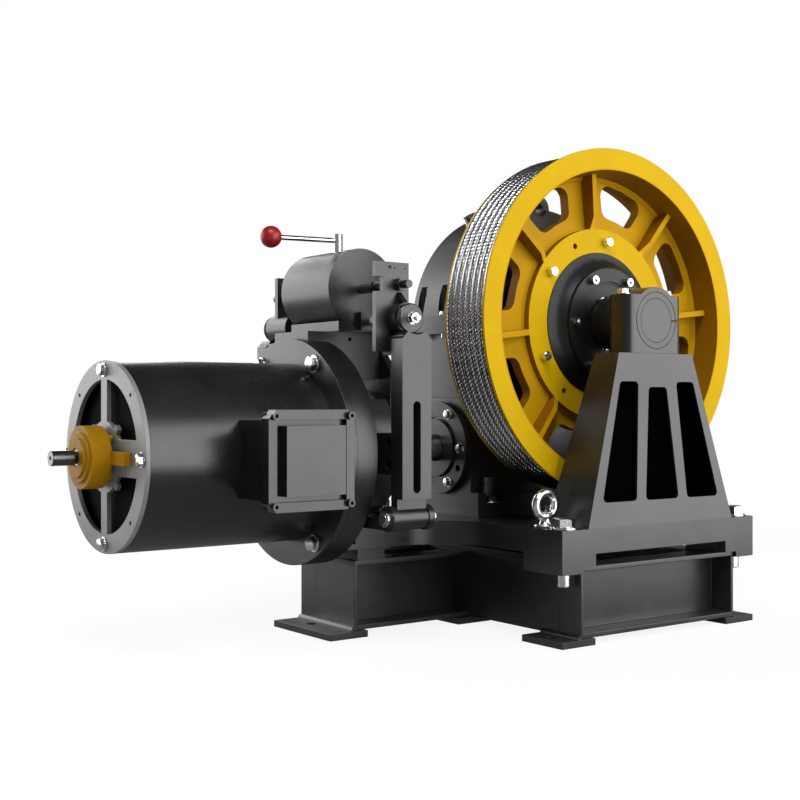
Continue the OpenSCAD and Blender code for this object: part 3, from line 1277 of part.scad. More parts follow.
module spring_rods() color(steel) both_sides() translate([-brake_x, 0, rod_z]) {
  translate([0, disc_y - 22, 0]) along_y(rod_r, cradle_y + rod_grip - disc_y + 22);
  translate([0, disc_y, 0]) along_y(cup_r - 2, disc_t);
  translate([0, disc_y - 3, 0]) along_y(15, 3);
  translate([0, disc_y - 16, 0]) rotate([-90, 0, 0]) cylinder(r = 0.866 * 2 * rod_r, h = 13, $fn = 6);
}

module solenoid() color(paint_light) difference() {
  union() {
    translate([-brake_x, cradle_y, coil_z]) along_y(coil_r, coil_l);
    translate([-brake_x - cradle_w / 2, cradle_y, saddle_z]) cube([cradle_w, coil_l, coil_z - saddle_z - coil_r * 0.8]);
    both_sides() translate([-brake_x - 11, cradle_y - rod_seat_t, saddle_z + 2]) cube([rod_seat_w, rod_seat_t + 10, rod_seat_h]);
  }
  both_sides() {
    translate([-brake_x, cradle_y - rod_seat_t - 1, rod_z]) along_y(rod_r + seat_gap, rod_seat_t + rod_grip + 3);
    translate([-brake_x, cradle_y - 1, coil_z]) along_y(plunger_r + run_gap, 61);
  }
  translate([-brake_x, worm_y, coil_z + coil_r - 22]) cylinder(r = release_r + run_gap, h = 40);
}
module plunger() translate([-brake_x, cradle_y - plunger_out, coil_z]) along_y(plunger_r, plunger_out + 50);
module front_plunger() color(steel) plunger();
module rear_plunger() color(steel) rear_side() plunger();

// The release spindle's frame: local X points away from the lever
module on_spindle(z) translate([-brake_x, worm_y, z]) rotate(-lever_turn) children();
module release_lever() color(steel) {
  on_spindle(coil_z + coil_r - 20) cylinder(r = release_r, h = 20 + 34);
  on_spindle(lever_z) translate([-lever_l, 0, 0]) along_x(lever_r, lever_l);
}
module lever_ball() color(red) on_spindle(lever_z) translate([-lever_l - ball_r + 3, 0, 0]) difference() {
  sphere(r = ball_r);
  along_x(lever_r + run_gap, ball_r + 1);
}

foot_plates();
frame_front();
frame_rear();
frame_sides();
tail_beam();
frame_welds();
bed();
bed_bolts();
eye_bolts();
pedestal();
pedestal_bolts();
clamp_block();
block_bolts();
outboard_pin();
sheave();
sheave_hub();
hub_cover();
hub_bolts();
cover_screws();
outboard_bearing();
ropes();
main_shaft();
wheel_rim();
wheel_centre();
gear_housing();
gear_cover();
housing_bolts();
side_covers();
main_bearings();
worm_caps();
cap_bolts();
worm_bearings();
oil_fittings();
worm_shaft();
brake_drum();
motor_shaft();
motor_rotor();
motor_fan();
motor_stator();
motor_shell();
rear_plate();
rear_plate_bolts();
motor_flange();
bell_housing();
flange_bolts();
terminal_box();
box_cover();
encoder();
front_arm();
rear_arm();
front_shoe();
rear_shoe();
pivot_pins();
brake_springs();
spring_rods();
solenoid();
front_plunger();
rear_plunger();
release_lever();
lever_ball();
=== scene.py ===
# Elevator traction machine: camera, finishes, fine pieces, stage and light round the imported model
import bpy
import json
import math
import numpy as np
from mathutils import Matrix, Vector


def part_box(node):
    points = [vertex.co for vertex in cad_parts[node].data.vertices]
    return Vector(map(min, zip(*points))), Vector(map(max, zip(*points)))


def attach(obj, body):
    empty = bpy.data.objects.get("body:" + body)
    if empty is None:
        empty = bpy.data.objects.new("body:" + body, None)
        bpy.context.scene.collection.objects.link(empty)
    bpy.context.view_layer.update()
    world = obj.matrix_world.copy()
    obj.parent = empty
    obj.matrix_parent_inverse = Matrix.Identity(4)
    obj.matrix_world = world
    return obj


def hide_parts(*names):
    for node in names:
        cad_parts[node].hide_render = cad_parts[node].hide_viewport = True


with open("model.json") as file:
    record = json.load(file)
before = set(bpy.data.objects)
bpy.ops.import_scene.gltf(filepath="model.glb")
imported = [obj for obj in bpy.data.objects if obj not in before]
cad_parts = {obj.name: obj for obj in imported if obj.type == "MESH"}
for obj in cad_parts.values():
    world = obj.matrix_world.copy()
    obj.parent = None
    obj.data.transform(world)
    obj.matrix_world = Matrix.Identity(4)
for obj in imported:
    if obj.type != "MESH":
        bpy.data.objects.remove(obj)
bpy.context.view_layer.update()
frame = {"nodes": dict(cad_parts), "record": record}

behaviour = frame["record"]["behaviour"]
bodyOf = {n: body for body, nodes in behaviour["bodies"].items() for n in nodes}
sheaveAxisZ = next(j["pos_m"][2] for j in behaviour["joints"] if j["name"] == "sheave_spin")
print("frame loaded:", len(frame["nodes"]), "nodes")

view = {"place": (-1.798, -1.918, 0.430), "heading": 36.5, "lens": 58.05, "sensor": 36, "near": 0.05, "far": 50}


def makeCamera(v):
    # A level camera: the heading is its turn to the right of +Y
    data = bpy.data.cameras.new("camera")
    data.lens, data.sensor_width = v["lens"], v["sensor"]
    data.clip_start, data.clip_end = v["near"], v["far"]
    cam = bpy.data.objects.new("camera", data)
    cam.location = v["place"]
    cam.rotation_euler = (math.radians(90), 0, math.radians(-v["heading"]))
    bpy.context.scene.collection.objects.link(cam)
    bpy.context.scene.camera = cam


makeCamera(view)
bpy.context.scene.view_settings.view_transform = "Standard"


# A node socket that takes part in Python expressions: each operator adds a Math node
class Sock:
    def __init__(self, tree, socket):
        self.tree, self.socket = tree, socket

    def maths(self, op, *args):
        n = self.tree.nodes.new("ShaderNodeMath")
        n.operation = op
        for i, a in enumerate(args):
            put(self.tree, n.inputs[i], a)
        return Sock(self.tree, n.outputs[0])

    def __add__(self, b): return self.maths("ADD", self, b)
    def __radd__(self, b): return self.maths("ADD", b, self)
    def __sub__(self, b): return self.maths("SUBTRACT", self, b)
    def __rsub__(self, b): return self.maths("SUBTRACT", b, self)
    def __mul__(self, b): return self.maths("MULTIPLY", self, b)
    def __rmul__(self, b): return self.maths("MULTIPLY", b, self)
    def __truediv__(self, b): return self.maths("DIVIDE", self, b)
    def __pow__(self, b): return self.maths("POWER", self, b)
    def __abs__(self): return self.maths("ABSOLUTE", self)

    def fraction(self):
        return self.maths("FRACT", self)

    def step(self, lo, hi):  # 0 at lo, 1 at hi, smooth between
        n = self.tree.nodes.new("ShaderNodeMapRange")
        n.interpolation_type = "SMOOTHSTEP"
        for i, a in enumerate((self, lo, hi, 0.0, 1.0)):
            put(self.tree, n.inputs[i], a)
        return Sock(self.tree, n.outputs[0])


def put(tree, socket, value):
    if isinstance(value, Sock):
        tree.links.new(value.socket, socket)
    elif hasattr(socket.default_value, "__len__") and not hasattr(value, "__len__"):
        socket.default_value = [value] * len(socket.default_value)
    else:
        socket.default_value = value


def lightPath(tree):
    # Camera, glossy and transmission rays, each 1 or 0
    path = tree.nodes.new("ShaderNodeLightPath")
    return [Sock(tree, path.outputs[n]) for n in ("Is Camera Ray", "Is Glossy Ray", "Is Transmission Ray")]


socketOf = {"color": "Base Color", "rough": "Roughness", "metal": "Metallic", "normal": "Normal", "ior": "IOR",
            "shine": "Specular IOR Level"}


# A material under construction: its node tree, its shader and the node makers that the finishes share
class Finish:
    def __init__(self, name):
        self.mat = bpy.data.materials.new(name)
        self.mat.use_nodes = True
        self.tree = self.mat.node_tree
        self.bsdf = self.tree.nodes["Principled BSDF"]
        self.place = self.node("ShaderNodeTexCoord", out="Object")

    def node(self, kind, settings=(), values=(), out=0):
        n = self.tree.nodes.new(kind)
        for k, v in dict(settings).items():
            setattr(n, k, v)
        for k, v in dict(values).items():
            put(self.tree, n.inputs[k], v)
        return Sock(self.tree, n.outputs[out])

    def noise(self, scale, detail=3, rough=0.5, stretch=None):
        where = self.place
        if stretch:
            where = self.node("ShaderNodeMapping", values={"Vector": where, "Scale": stretch})
        values = {"Vector": where, "Scale": scale, "Detail": detail, "Roughness": rough}
        return self.node("ShaderNodeTexNoise", values=values)

    def axes(self, vector):
        n = self.tree.nodes.new("ShaderNodeSeparateXYZ")
        put(self.tree, n.inputs[0], vector)
        return [Sock(self.tree, n.outputs[i]) for i in range(3)]

    def mix(self, mask, a, b):
        n = self.tree.nodes.new("ShaderNodeMix")
        n.data_type = "RGBA"
        put(self.tree, n.inputs[0], mask)
        for i, c in ((6, a), (7, b)):  # the colour sockets
            put(self.tree, n.inputs[i], c if isinstance(c, Sock) else (*c, 1))
        return Sock(self.tree, n.outputs[2])

    def bump(self, height, depth, size, before=None):
        values = {"Height": height, "Strength": depth, "Distance": size}
        if before:
            values["Normal"] = before
        return self.node("ShaderNodeBump", values=values)

    def done(self, **inputs):
        for k, v in inputs.items():
            plain = isinstance(v, Sock) or not hasattr(v, "__len__")
            put(self.tree, self.bsdf.inputs[socketOf[k]], v if plain else (*v, 1))
        return self.mat


def shade(color, factor):
    return tuple(min(1, c * factor) for c in color)


paints = {
    "castPaint": {"color": (0.011, 0.0108, 0.0105), "rough": 0.30, "grain": 0.30, "grainSize": 620, "wave": 0.06},
    "platePaint": {"color": (0.020, 0.0198, 0.0195), "rough": 0.30, "grain": 0.15, "grainSize": 900, "wave": 0.06},
    "motorPaint": {"color": (0.010, 0.010, 0.010), "rough": 0.27, "grain": 0.05, "grainSize": 900, "wave": 0.03},
    "hubPaint": {"color": (0.009, 0.009, 0.009), "rough": 0.36, "grain": 0.12, "grainSize": 900, "wave": 0.03,
                 "ior": 1.36},
    "rearPaint": {"color": (0.20, 0.20, 0.19), "rough": 0.40, "grain": 0.08, "grainSize": 1100, "wave": 0.08},
    "encoderPaint": {"color": (0.42, 0.205, 0.003), "rough": 0.48, "grain": 0.12, "grainSize": 900, "wave": 0.15,
                     "ior": 1.2},
}
# What the paints share: noise scales per metre, shades as factors of the colour, bump distances in metres
enamel = {"ior": 1.6, "clouds": 9, "cloudEdge": (0.35, 0.7), "darker": 0.86, "lighter": 1.12, "specks": 180,
          "speckEdge": (0.62, 0.78), "speckShade": 1.45, "speckShare": 0.25, "patches": 55, "smoothest": -0.05,
          "cloudRough": 0.07, "patchRough": 0.06, "grainDepth": 0.0006, "waves": 22, "waveDepth": 0.0012}


def makePaint(name, p, insideOf=None):
    # Satin enamel: colour drifts a little over the surface, fine grain and long soft waves in the bump. Where a
    # mask says that a face is inside a hollow, it is painted shade: near black, rough and metallic, so that it
    # mirrors almost nothing
    f = Finish(name)
    e = enamel
    cloud = f.noise(e["clouds"], 4, 0.6).step(*e["cloudEdge"])
    speck = f.noise(e["specks"], 2).step(*e["speckEdge"])
    color = f.mix(cloud, shade(p["color"], e["darker"]), shade(p["color"], e["lighter"]))
    color = f.mix(speck * e["speckShare"], color, shade(p["color"], e["speckShade"]))
    patch = f.noise(e["patches"])
    rough = p["rough"] + cloud * e["cloudRough"] + patch * e["patchRough"] + e["smoothest"]
    grain = f.bump(f.noise(p["grainSize"], 3, 0.6), p["grain"], e["grainDepth"])
    wave = f.bump(f.noise(e["waves"], 2), p["wave"], e["waveDepth"], grain)
    hollowShade = 0.0
    # Painted shade: faces inside a hollow turn near black, rough and metallic, so that they mirror almost nothing
    if insideOf:
        hollowShade = insideOf(*f.axes(f.place))
        color, rough = f.mix(hollowShade, color, hollow["hollowShade"]), rough + hollowShade * hollow["rougher"]
    return f.done(color=color, rough=rough, metal=hollowShade, normal=wave, ior=p.get("ior", e["ior"]))


# Painted shade on the insides of the pedestal and the motor shell: its colour and added roughness, slopes of the
# pedestal's walls over its height, its depth, and how far inside a wall the painted shade starts and is full
hollow = {"hollowShade": (0.002, 0.002, 0.002), "rougher": 0.6, "lean": 0.018, "taper": 0.094, "depth": 0.108,
          "backLean": 0.030, "wall": (0.004, 0.005), "shellWall": (-0.0015, -0.0025)}


def pedestalInside(x, y, z):
    # Behind the leaning front wall, between the side walls that lean in as they rise, before the back wall
    lo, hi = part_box("pedestal")
    rise = (z - lo[2]) / (hi[2] - lo[2])
    front = y - rise * hollow["lean"] - lo[1]
    side = (hi[0] - lo[0]) / 2 - rise * hollow["taper"] - abs(x)
    back = lo[1] + hollow["depth"] - rise * hollow["backLean"] - y
    return front.step(*hollow["wall"]) * side.step(*hollow["wall"]) * back.step(*hollow["wall"])


def shellInside(x, y, z):
    # Inside the shell's bore, which lies along X
    lo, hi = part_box("motor_shell")
    midY, midZ = y - (lo[1] + hi[1]) / 2, z - (lo[2] + hi[2]) / 2
    radius = (midY * midY + midZ * midZ) ** 0.5
    return (radius - (hi[2] - lo[2]) / 2).step(*hollow["shellWall"])


metals = {
    "zinc": {"color": (0.80, 0.80, 0.81), "rough": 0.13, "cloud": 0.07, "grain": 0.06, "turned": 0.0},
    "chrome": {"color": (0.78, 0.78, 0.79), "rough": 0.06, "cloud": 0.03, "grain": 0.0, "turned": 0.0},
    "steel": {"color": (0.45, 0.45, 0.45), "rough": 0.26, "cloud": 0.08, "grain": 0.06, "turned": 0.35},
    "darkSteel": {"color": (0.13, 0.13, 0.128), "rough": 0.24, "cloud": 0.06, "grain": 0.05, "turned": 0.2},
    "ground": {"color": (0.72, 0.72, 0.74), "rough": 0.18, "cloud": 0.05, "grain": 0.04, "turned": 0.10},
    "drumIron": {"color": (0.34, 0.34, 0.35), "rough": 0.38, "cloud": 0.12, "grain": 0.20, "turned": 0.40},
    "bronze": {"color": (0.68, 0.42, 0.15), "rough": 0.32, "cloud": 0.10, "grain": 0.10, "turned": 0.10},
}
# What the metals share: turning marks are fine noise that is stretched along Y and Z, so it changes along X alone
machining = {"clouds": 60, "cloudEdge": (0.3, 0.75), "stains": 420, "stainRough": 0.05, "grains": 900,
             "grainShare": 0.4, "grainBase": 0.25, "marks": 1600, "stretch": (1, 0.03, 0.03), "depth": 0.0004}


def makeMetal(name, p):
    # Bare or plated metal: cloudy colour and roughness, fine grain, and turning marks across the X axis
    f = Finish(name)
    m = machining
    cloud = f.noise(m["clouds"], 4, 0.6).step(*m["cloudEdge"])
    color = f.mix(cloud, shade(p["color"], 1 - p["cloud"]), p["color"])
    rough = p["rough"] + cloud * p["cloud"] + f.noise(m["stains"], 2) * m["stainRough"]
    height = f.noise(m["grains"], 2)
    if p["turned"]:
        height = height * m["grainShare"] + f.noise(m["marks"], 2, stretch=m["stretch"]) * p["turned"]
    normal = f.bump(height, m["grainBase"] + p["grain"], m["depth"])
    return f.done(color=color, rough=rough, metal=1.0, normal=normal)


# The second and third colours of the sheave paint are painted shade: a darker orange for the recessed web and
# orange brown for the walls inside the rim
sheavePaint = {"color": (0.64, 0.395, 0.0035), "webShade": (0.50, 0.245, 0.0035), "webShadeShare": 0.7,
               "wallShade": (0.20, 0.075, 0.003), "wallShadeShare": 0.8, "darker": 0.93, "rough": 0.48, "shine": 0.06,
               "rimInside": 0.295, "ringOutside": 0.185, "edge": 0.003, "wall": (0.3, 0.65), "clouds": 11,
               "cloudRough": 0.06, "patches": 60, "patchRough": 0.05, "grainSize": 700, "grain": 0.22,
               "waves": 24, "wave": 0.25}


def makeSheavePaint(name, p):
    # Yellow enamel with painted shade. The web between the bolting ring and the rim is painted a darker orange
    # shade, and walls whose normals lie across the axis are painted orange brown shade inside the rim; the faces
    # that look along the axis stay plain yellow
    f = Finish(name)
    x, y, z = f.axes(f.place)
    z = z - sheaveAxisZ
    radius = (x * x + z * z) ** 0.5
    along = abs(f.axes(f.node("ShaderNodeNewGeometry", out="Normal"))[1])
    inside = (p["rimInside"] - radius).step(0, p["edge"])
    wall = (1 - along).step(*p["wall"]) * inside
    web = inside * (radius - p["ringOutside"]).step(0, p["edge"])
    cloud = f.noise(p["clouds"], 4, 0.6).step(*enamel["cloudEdge"])
    color = f.mix(cloud, shade(p["color"], p["darker"]), p["color"])
    # Painted shade on the recessed web
    color = f.mix(web * p["webShadeShare"], color, p["webShade"])
    # Painted shade on the walls inside the rim
    color = f.mix(wall * p["wallShadeShare"], color, p["wallShade"])
    rough = p["rough"] + cloud * p["cloudRough"] + f.noise(p["patches"]) * p["patchRough"]
    grain = f.bump(f.noise(p["grainSize"], 3, 0.6), p["grain"], enamel["grainDepth"])
    normal = f.bump(f.noise(p["waves"], 2), p["wave"], enamel["waveDepth"], grain)
    return f.done(color=color, rough=rough, normal=normal, shine=p["shine"])


plastics = {
    "winding": {"color": (0.32, 0.12, 0.045), "rough": 0.5, "grain": 0.2, "shine": 0.5},
    # The fan's near-black colour is its black plastic and also painted shade inside the motor
    "fanPlasticAndShade": {"color": (0.003, 0.003, 0.0033), "rough": 0.7, "grain": 0.2, "shine": 0.05},
    "ballPlastic": {"color": (0.33, 0.006, 0.006), "rough": 0.34, "grain": 0.02, "shine": 0.5},
}
moulding = {"clouds": 30, "cloudEdge": (0.3, 0.7), "darker": 0.85, "patches": 90, "patchRough": 0.08, "grains": 700,
            "depth": 0.0005}


def makePlastic(name, p):
    # Moulded or varnished: a faint drift of colour and roughness over an orange-peel grain
    f = Finish(name)
    m = moulding
    cloud = f.noise(m["clouds"]).step(*m["cloudEdge"])
    color = f.mix(cloud, shade(p["color"], m["darker"]), p["color"])
    rough = p["rough"] + f.noise(m["patches"], 2) * m["patchRough"]
    normal = f.bump(f.noise(m["grains"]), p["grain"], m["depth"])
    return f.done(color=color, rough=rough, normal=normal, shine=p["shine"])


finish = {n: makePaint(n, p) for n, p in paints.items()}
finish.update({n: makeMetal(n, p) for n, p in metals.items()})
finish.update({n: makePlastic(n, p) for n, p in plastics.items()})
finish["sheavePaint"] = makeSheavePaint("sheavePaint", sheavePaint)
# The pedestal's and the motor shell's paints carry painted shade inside their hollows
finish["pedestalPaint"] = makePaint("pedestalPaint", paints["castPaint"], pedestalInside)
finish["shellPaint"] = makePaint("shellPaint", paints["motorPaint"], shellInside)

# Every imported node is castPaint, apart from these
wears = {
    "platePaint": "foot_plates frame_front frame_rear frame_sides tail_beam frame_welds",
    "motorPaint": "terminal_box box_cover",
    "shellPaint": "motor_shell",
    "pedestalPaint": "pedestal",
    "rearPaint": "rear_plate",
    "encoderPaint": "encoder",
    "sheavePaint": "sheave",
    "hubPaint": "sheave_hub hub_cover",
    "zinc": "bed_bolts eye_bolts pedestal_bolts block_bolts hub_bolts housing_bolts cap_bolts rear_plate_bolts "
            "flange_bolts oil_fittings spring_rods pivot_pins cover_screws",
    "chrome": "release_lever",
    "steel": "main_shaft worm_shaft front_plunger rear_plunger brake_springs ropes",
    "darkSteel": "motor_shaft",
    "ground": "outboard_bearing main_bearings worm_bearings",
    "drumIron": "motor_rotor brake_drum",
    "bronze": "wheel_rim",
    "winding": "motor_stator",
    "fanPlasticAndShade": "motor_fan",
    "ballPlastic": "lever_ball",
}
finishOf = {n: look for look, names in wears.items() for n in names.split()}
for n, o in frame["nodes"].items():
    o.data.materials.clear()
    o.data.materials.append(finish[finishOf.get(n, "castPaint")])
print("finishes:", len(finish))

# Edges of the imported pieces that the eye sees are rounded: radius of the rounding in metres
edgeRound = {
    "pedestal": 0.0035, "clamp_block": 0.004, "bed": 0.0035, "sheave": 0.0022, "sheave_hub": 0.0015,
    "hub_cover": 0.001, "gear_housing": 0.003, "gear_cover": 0.003, "side_covers": 0.0015, "worm_caps": 0.0012,
    "bell_housing": 0.0025, "motor_flange": 0.0015, "motor_shell": 0.001, "rear_plate": 0.0012,
    "terminal_box": 0.0015, "box_cover": 0.0015, "encoder": 0.0012, "front_arm": 0.002, "rear_arm": 0.002,
    "front_shoe": 0.0015, "rear_shoe": 0.0015, "solenoid": 0.003, "frame_front": 0.0012, "frame_rear": 0.0012,
    "frame_sides": 0.0012, "tail_beam": 0.0012, "foot_plates": 0.0008, "outboard_pin": 0.001, "brake_drum": 0.001,
    "front_plunger": 0.0008, "rear_plunger": 0.0008, "motor_shaft": 0.0008, "release_lever": 0.0004,
    "pivot_pins": 0.0006,
}
# Merge distance in metres, and the least angles in degrees that stay in a flat and that count as an edge
rounding = {"merge": 1e-5, "flat": 0.3, "edge": 32, "segments": 2, "sameArea": 0.01}


def roundEdges(obj, radius, r):
    # Merged and cleaned flats, a rounding on each edge, and normals that keep large flats flat up to it
    weld = obj.modifiers.new("weld", "WELD")
    weld.merge_threshold = r["merge"]
    flat = obj.modifiers.new("flat", "DECIMATE")
    flat.decimate_type, flat.angle_limit = "DISSOLVE", math.radians(r["flat"])
    edge = obj.modifiers.new("edge", "BEVEL")
    edge.width, edge.segments, edge.use_clamp_overlap = radius, r["segments"], True
    edge.limit_method, edge.angle_limit = "ANGLE", math.radians(r["edge"])
    even = obj.modifiers.new("even", "WEIGHTED_NORMAL")
    even.mode, even.weight, even.thresh = "FACE_AREA", 100, r["sameArea"]
    obj.data.polygons.foreach_set("use_smooth", [True] * len(obj.data.polygons))


for n, radius in edgeRound.items():
    roundEdges(frame["nodes"][n], radius, rounding)
print("edges rounded:", len(edgeRound))


def gridFaces(nu, nv, wrapU, wrapV):
    # Quads between neighbours in both parameters
    u, v = np.meshgrid(np.arange(nu if wrapU else nu - 1), np.arange(nv if wrapV else nv - 1), indexing="ij")
    a, b = u * nv + v, (u + 1) % nu * nv + v
    c, d = (u + 1) % nu * nv + (v + 1) % nv, u * nv + (v + 1) % nv
    return np.stack([a, b, c, d], -1).reshape(-1, 4)


def gridPart(points, wrapU=False, wrapV=False):
    # Points and quads of a surface that is given as an array of points over two parameters
    nu, nv = points.shape[:2]
    return points.reshape(-1, 3), gridFaces(nu, nv, wrapU, wrapV)


def joinParts(parts):
    points, faces, start = [], [], 0
    for p, q in parts:
        points.append(p)
        faces.append(q + start)
        start += len(p)
    return np.concatenate(points), np.concatenate(faces)


def makePiece(name, part, look, node, uv=None):
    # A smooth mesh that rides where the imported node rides, replaces it and takes its finish from the slot
    points, faces = part
    mesh = bpy.data.meshes.new(name)
    mesh.vertices.add(len(points))
    mesh.vertices.foreach_set("co", np.asarray(points, np.float32).ravel())
    mesh.loops.add(faces.size)
    mesh.loops.foreach_set("vertex_index", faces.astype(np.int32).ravel())
    mesh.polygons.add(len(faces))
    mesh.polygons.foreach_set("loop_start", np.arange(0, faces.size, 4, dtype=np.int32))
    mesh.polygons.foreach_set("loop_total", np.full(len(faces), 4, np.int32))
    mesh.polygons.foreach_set("use_smooth", np.full(len(faces), True))
    if uv is not None:
        layer = mesh.uv_layers.new(name="own")
        layer.data.foreach_set("uv", np.asarray(uv, np.float32)[faces.ravel()].ravel())
    mesh.update()
    mesh.validate()
    mesh.materials.append(finish[look])
    obj = bpy.data.objects.new(name, mesh)
    bpy.context.scene.collection.objects.link(obj)
    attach(obj, bodyOf[node])
    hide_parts(node)
    return obj


def sharpen(obj, angle=35):
    # Splits the shading at sharp edges, so that flats stay flat beside round walls
    split = obj.modifiers.new("split", "EDGE_SPLIT")
    split.split_angle = math.radians(angle)


def circle(n):
    return np.linspace(0, 2 * np.pi, n, endpoint=False)


def turned(profile, n=48):
    # Surface of revolution about local Z: each profile row is (radius, height)
    a = circle(n)
    p = np.asarray(profile, float)
    return np.stack([np.outer(np.cos(a), p[:, 0]), np.outer(np.sin(a), p[:, 0]),
                     np.broadcast_to(p[:, 1], (n, len(p)))], -1)


def place(points, origin, axis, spin=0.0):
    # Turns local Z on to the axis, spins the points round it and moves them to the origin
    z = np.asarray(axis, float)
    z = z / np.linalg.norm(z)
    x = np.cross((0, 0, 1), z) if abs(z[2]) < 0.9 else np.array((1.0, 0, 0))
    x = x / np.linalg.norm(x)
    y = np.cross(z, x)
    x, y = x * math.cos(spin) + y * math.sin(spin), y * math.cos(spin) - x * math.sin(spin)
    return (points.reshape(-1, 3) @ np.stack([x, y, z]) + np.asarray(origin)).reshape(points.shape)


def looseSolids(node):
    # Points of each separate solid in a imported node: labels spread over the triangles until they settle
    mesh = frame["nodes"][node].data
    co = np.zeros(len(mesh.vertices) * 3, np.float32)
    mesh.vertices.foreach_get("co", co)
    co = co.reshape(-1, 3).astype(float)
    mesh.calc_loop_triangles()
    tri = np.zeros(len(mesh.loop_triangles) * 3, np.int32)
    mesh.loop_triangles.foreach_get("vertices", tri)
    _, same = np.unique(np.round(co / rounding["merge"]).astype(int), axis=0, return_inverse=True)
    same = same.ravel()
    tri = same[tri].reshape(-1, 3)
    label = np.arange(same.max() + 1)
    while True:
        low = label[tri].min(1)
        before = label.copy()
        for k in range(3):
            np.minimum.at(label, tri[:, k], low)
        label = label[label]
        if (label == before).all():
            break
    groups = label[same]
    return [co[groups == g] for g in np.unique(groups)]


# Suspension ropes: radii in metres, points along the ring and round the rope, colours of the painted shade in the
# gaps and of the wire
ropes = {"strands": 8, "turns": 34, "ringRadius": 0.320, "ropeRadius": 0.0065, "around": 40, "along": 1000,
         "oil": (0.015, 0.015, 0.016), "wire": (0.92, 0.92, 0.93), "crest": (0.35, 0.95), "rough": 0.18,
         "stains": 300, "stainRough": 0.12, "grain": 0.15, "depth": 0.0003}


def ropeRing(r, y):
    # Point at u round the ring and v round the rope. The rope's radius is the outline of strands that touch, turned
    # with u: radius = c cos t + sqrt(s^2 - c^2 sin^2 t), t being the angle from the nearest strand
    u, v = circle(r["along"])[:, None], circle(r["around"])[None, :]
    half = np.pi / r["strands"]
    s = r["ropeRadius"] * math.sin(half) / (1 + math.sin(half))
    c = r["ropeRadius"] - s
    t = (v + u * r["turns"] + half) % (2 * half) - half
    a = c * np.cos(t) + np.sqrt(np.maximum(s * s - (c * np.sin(t)) ** 2, 0))
    ring = r["ringRadius"] + a * np.cos(v)
    points = np.stack([ring * np.sin(u), y + a * np.sin(v) + 0 * u, sheaveAxisZ + ring * np.cos(u)], -1)
    uv = np.stack(np.broadcast_arrays(u * r["ringRadius"], (v + u * r["turns"]) * r["ropeRadius"]), -1)
    return gridPart(points, True, True), uv.reshape(-1, 2)


def makeRopeWire(name, r):
    # Bright crests, and black painted shade in the gaps between the strands: the piece's map holds the length along
    # the rope and the turn round it, so the strand's phase is the second value
    f = Finish(name)
    x, y, z = f.axes(f.node("ShaderNodeUVMap", {"uv_map": "own"}))
    phase = (y * (r["strands"] / (2 * math.pi * r["ropeRadius"]))).fraction()
    crest = 1 - (abs(phase - 0.5) * 2).step(*r["crest"])
    stain = f.noise(r["stains"], 2)
    # The gaps between the crests are painted black shade
    return f.done(color=f.mix(crest, r["oil"], r["wire"]), rough=r["rough"] + stain * r["stainRough"], metal=1.0,
                  normal=f.bump(stain, r["grain"], r["depth"]))


def makeRopes(r):
    middles = sorted((q[:, 1].min() + q[:, 1].max()) / 2 for q in looseSolids("ropes"))
    for i, y in enumerate(middles):
        part, uv = ropeRing(r, y)
        makePiece("rope%d" % (i + 1), part, "ropeWire", "ropes", uv)


finish["ropeWire"] = makeRopeWire("ropeWire", ropes)
makeRopes(ropes)
print("ropes made")

# Proportions of bolts and nuts, in bolt diameters: height of the head, the washer and the nut, width across flats,
# the thread's pitch and how far it stands out of its nut. The chamfer's flat is a share of the width across flats,
# a solid this many times longer than it is wide is a bolt, and each is turned further than the last, in radians
bolt = {"head": 0.65, "washer": 0.16, "nut": 0.8, "across": 1.5, "pitch": 0.14, "threadEnd": 0.2, "chamfer": 0.94,
        "sides": 60, "longer": 1.25, "spin": 0.7, "mostSpin": 1.05, "slot": "zinc_bolts"}


def hexPrism(across, height, low=False):
    # Hexagon whose corners are cut by a 30 degree cone: rows are pole, foot, cut edge, rim of the flat, pole
    a = circle(bolt["sides"])
    r = across / 2 / np.cos((a + np.pi / 6) % (np.pi / 3) - np.pi / 6)
    flat = across / 2 * bolt["chamfer"]
    drop = (r - flat) * math.tan(math.radians(30))
    zero = np.zeros(len(a))
    rows = [(zero, zero)] + ([(zero + flat, zero), (r, drop)] if low else [(r, zero)])
    rows += [(r, height - drop), (zero + flat, zero + height), (zero, zero + height)]
    return np.stack([np.stack([q * np.cos(a), q * np.sin(a), z], -1) for q, z in rows], 1)


def threadEnd(d, length):
    # Threaded end: the radius is a triangle wave of height and angle together, which makes a helix, and falls
    # towards the tip
    pitch = d * bolt["pitch"]
    a = circle(24)[:, None]
    z = np.linspace(0, length, max(6, int(length / pitch * 6)))[None, :]
    wave = np.abs((z / pitch + a / (2 * np.pi)) % 1 - 0.5) * 2
    r = np.minimum(d / 2 - wave * pitch * 0.5, d / 2 - np.maximum(z - length + pitch, 0) * 0.8)
    points = np.stack([r * np.cos(a), r * np.sin(a), z + 0 * a], -1)
    return np.concatenate([points, points[:, -1:] * np.array([0, 0, 1.0])], 1)


def boltParts(d, length, origin, axis, spin):
    # Shank below the origin; washer, washer face and chamfered head above it
    w, h = bolt["washer"] * d, bolt["head"] * d
    washer = turned([(0, 0), (0.97 * d, 0), (d, 0.2 * w), (d, 0.8 * w), (0.96 * d, w), (0, w)])
    face = turned([(0, w), (0.8 * d, w), (0.8 * d, w * 1.3), (0, w * 1.3)])
    head = hexPrism(bolt["across"] * d, h) + np.array((0, 0, w))
    shank = turned([(0, -length), (0.44 * d, -length), (d / 2, -length + 0.08 * d), (d / 2, 0), (0, 0)], 24)
    return [gridPart(place(q, origin, axis, spin), True) for q in (washer, face, head, shank)]


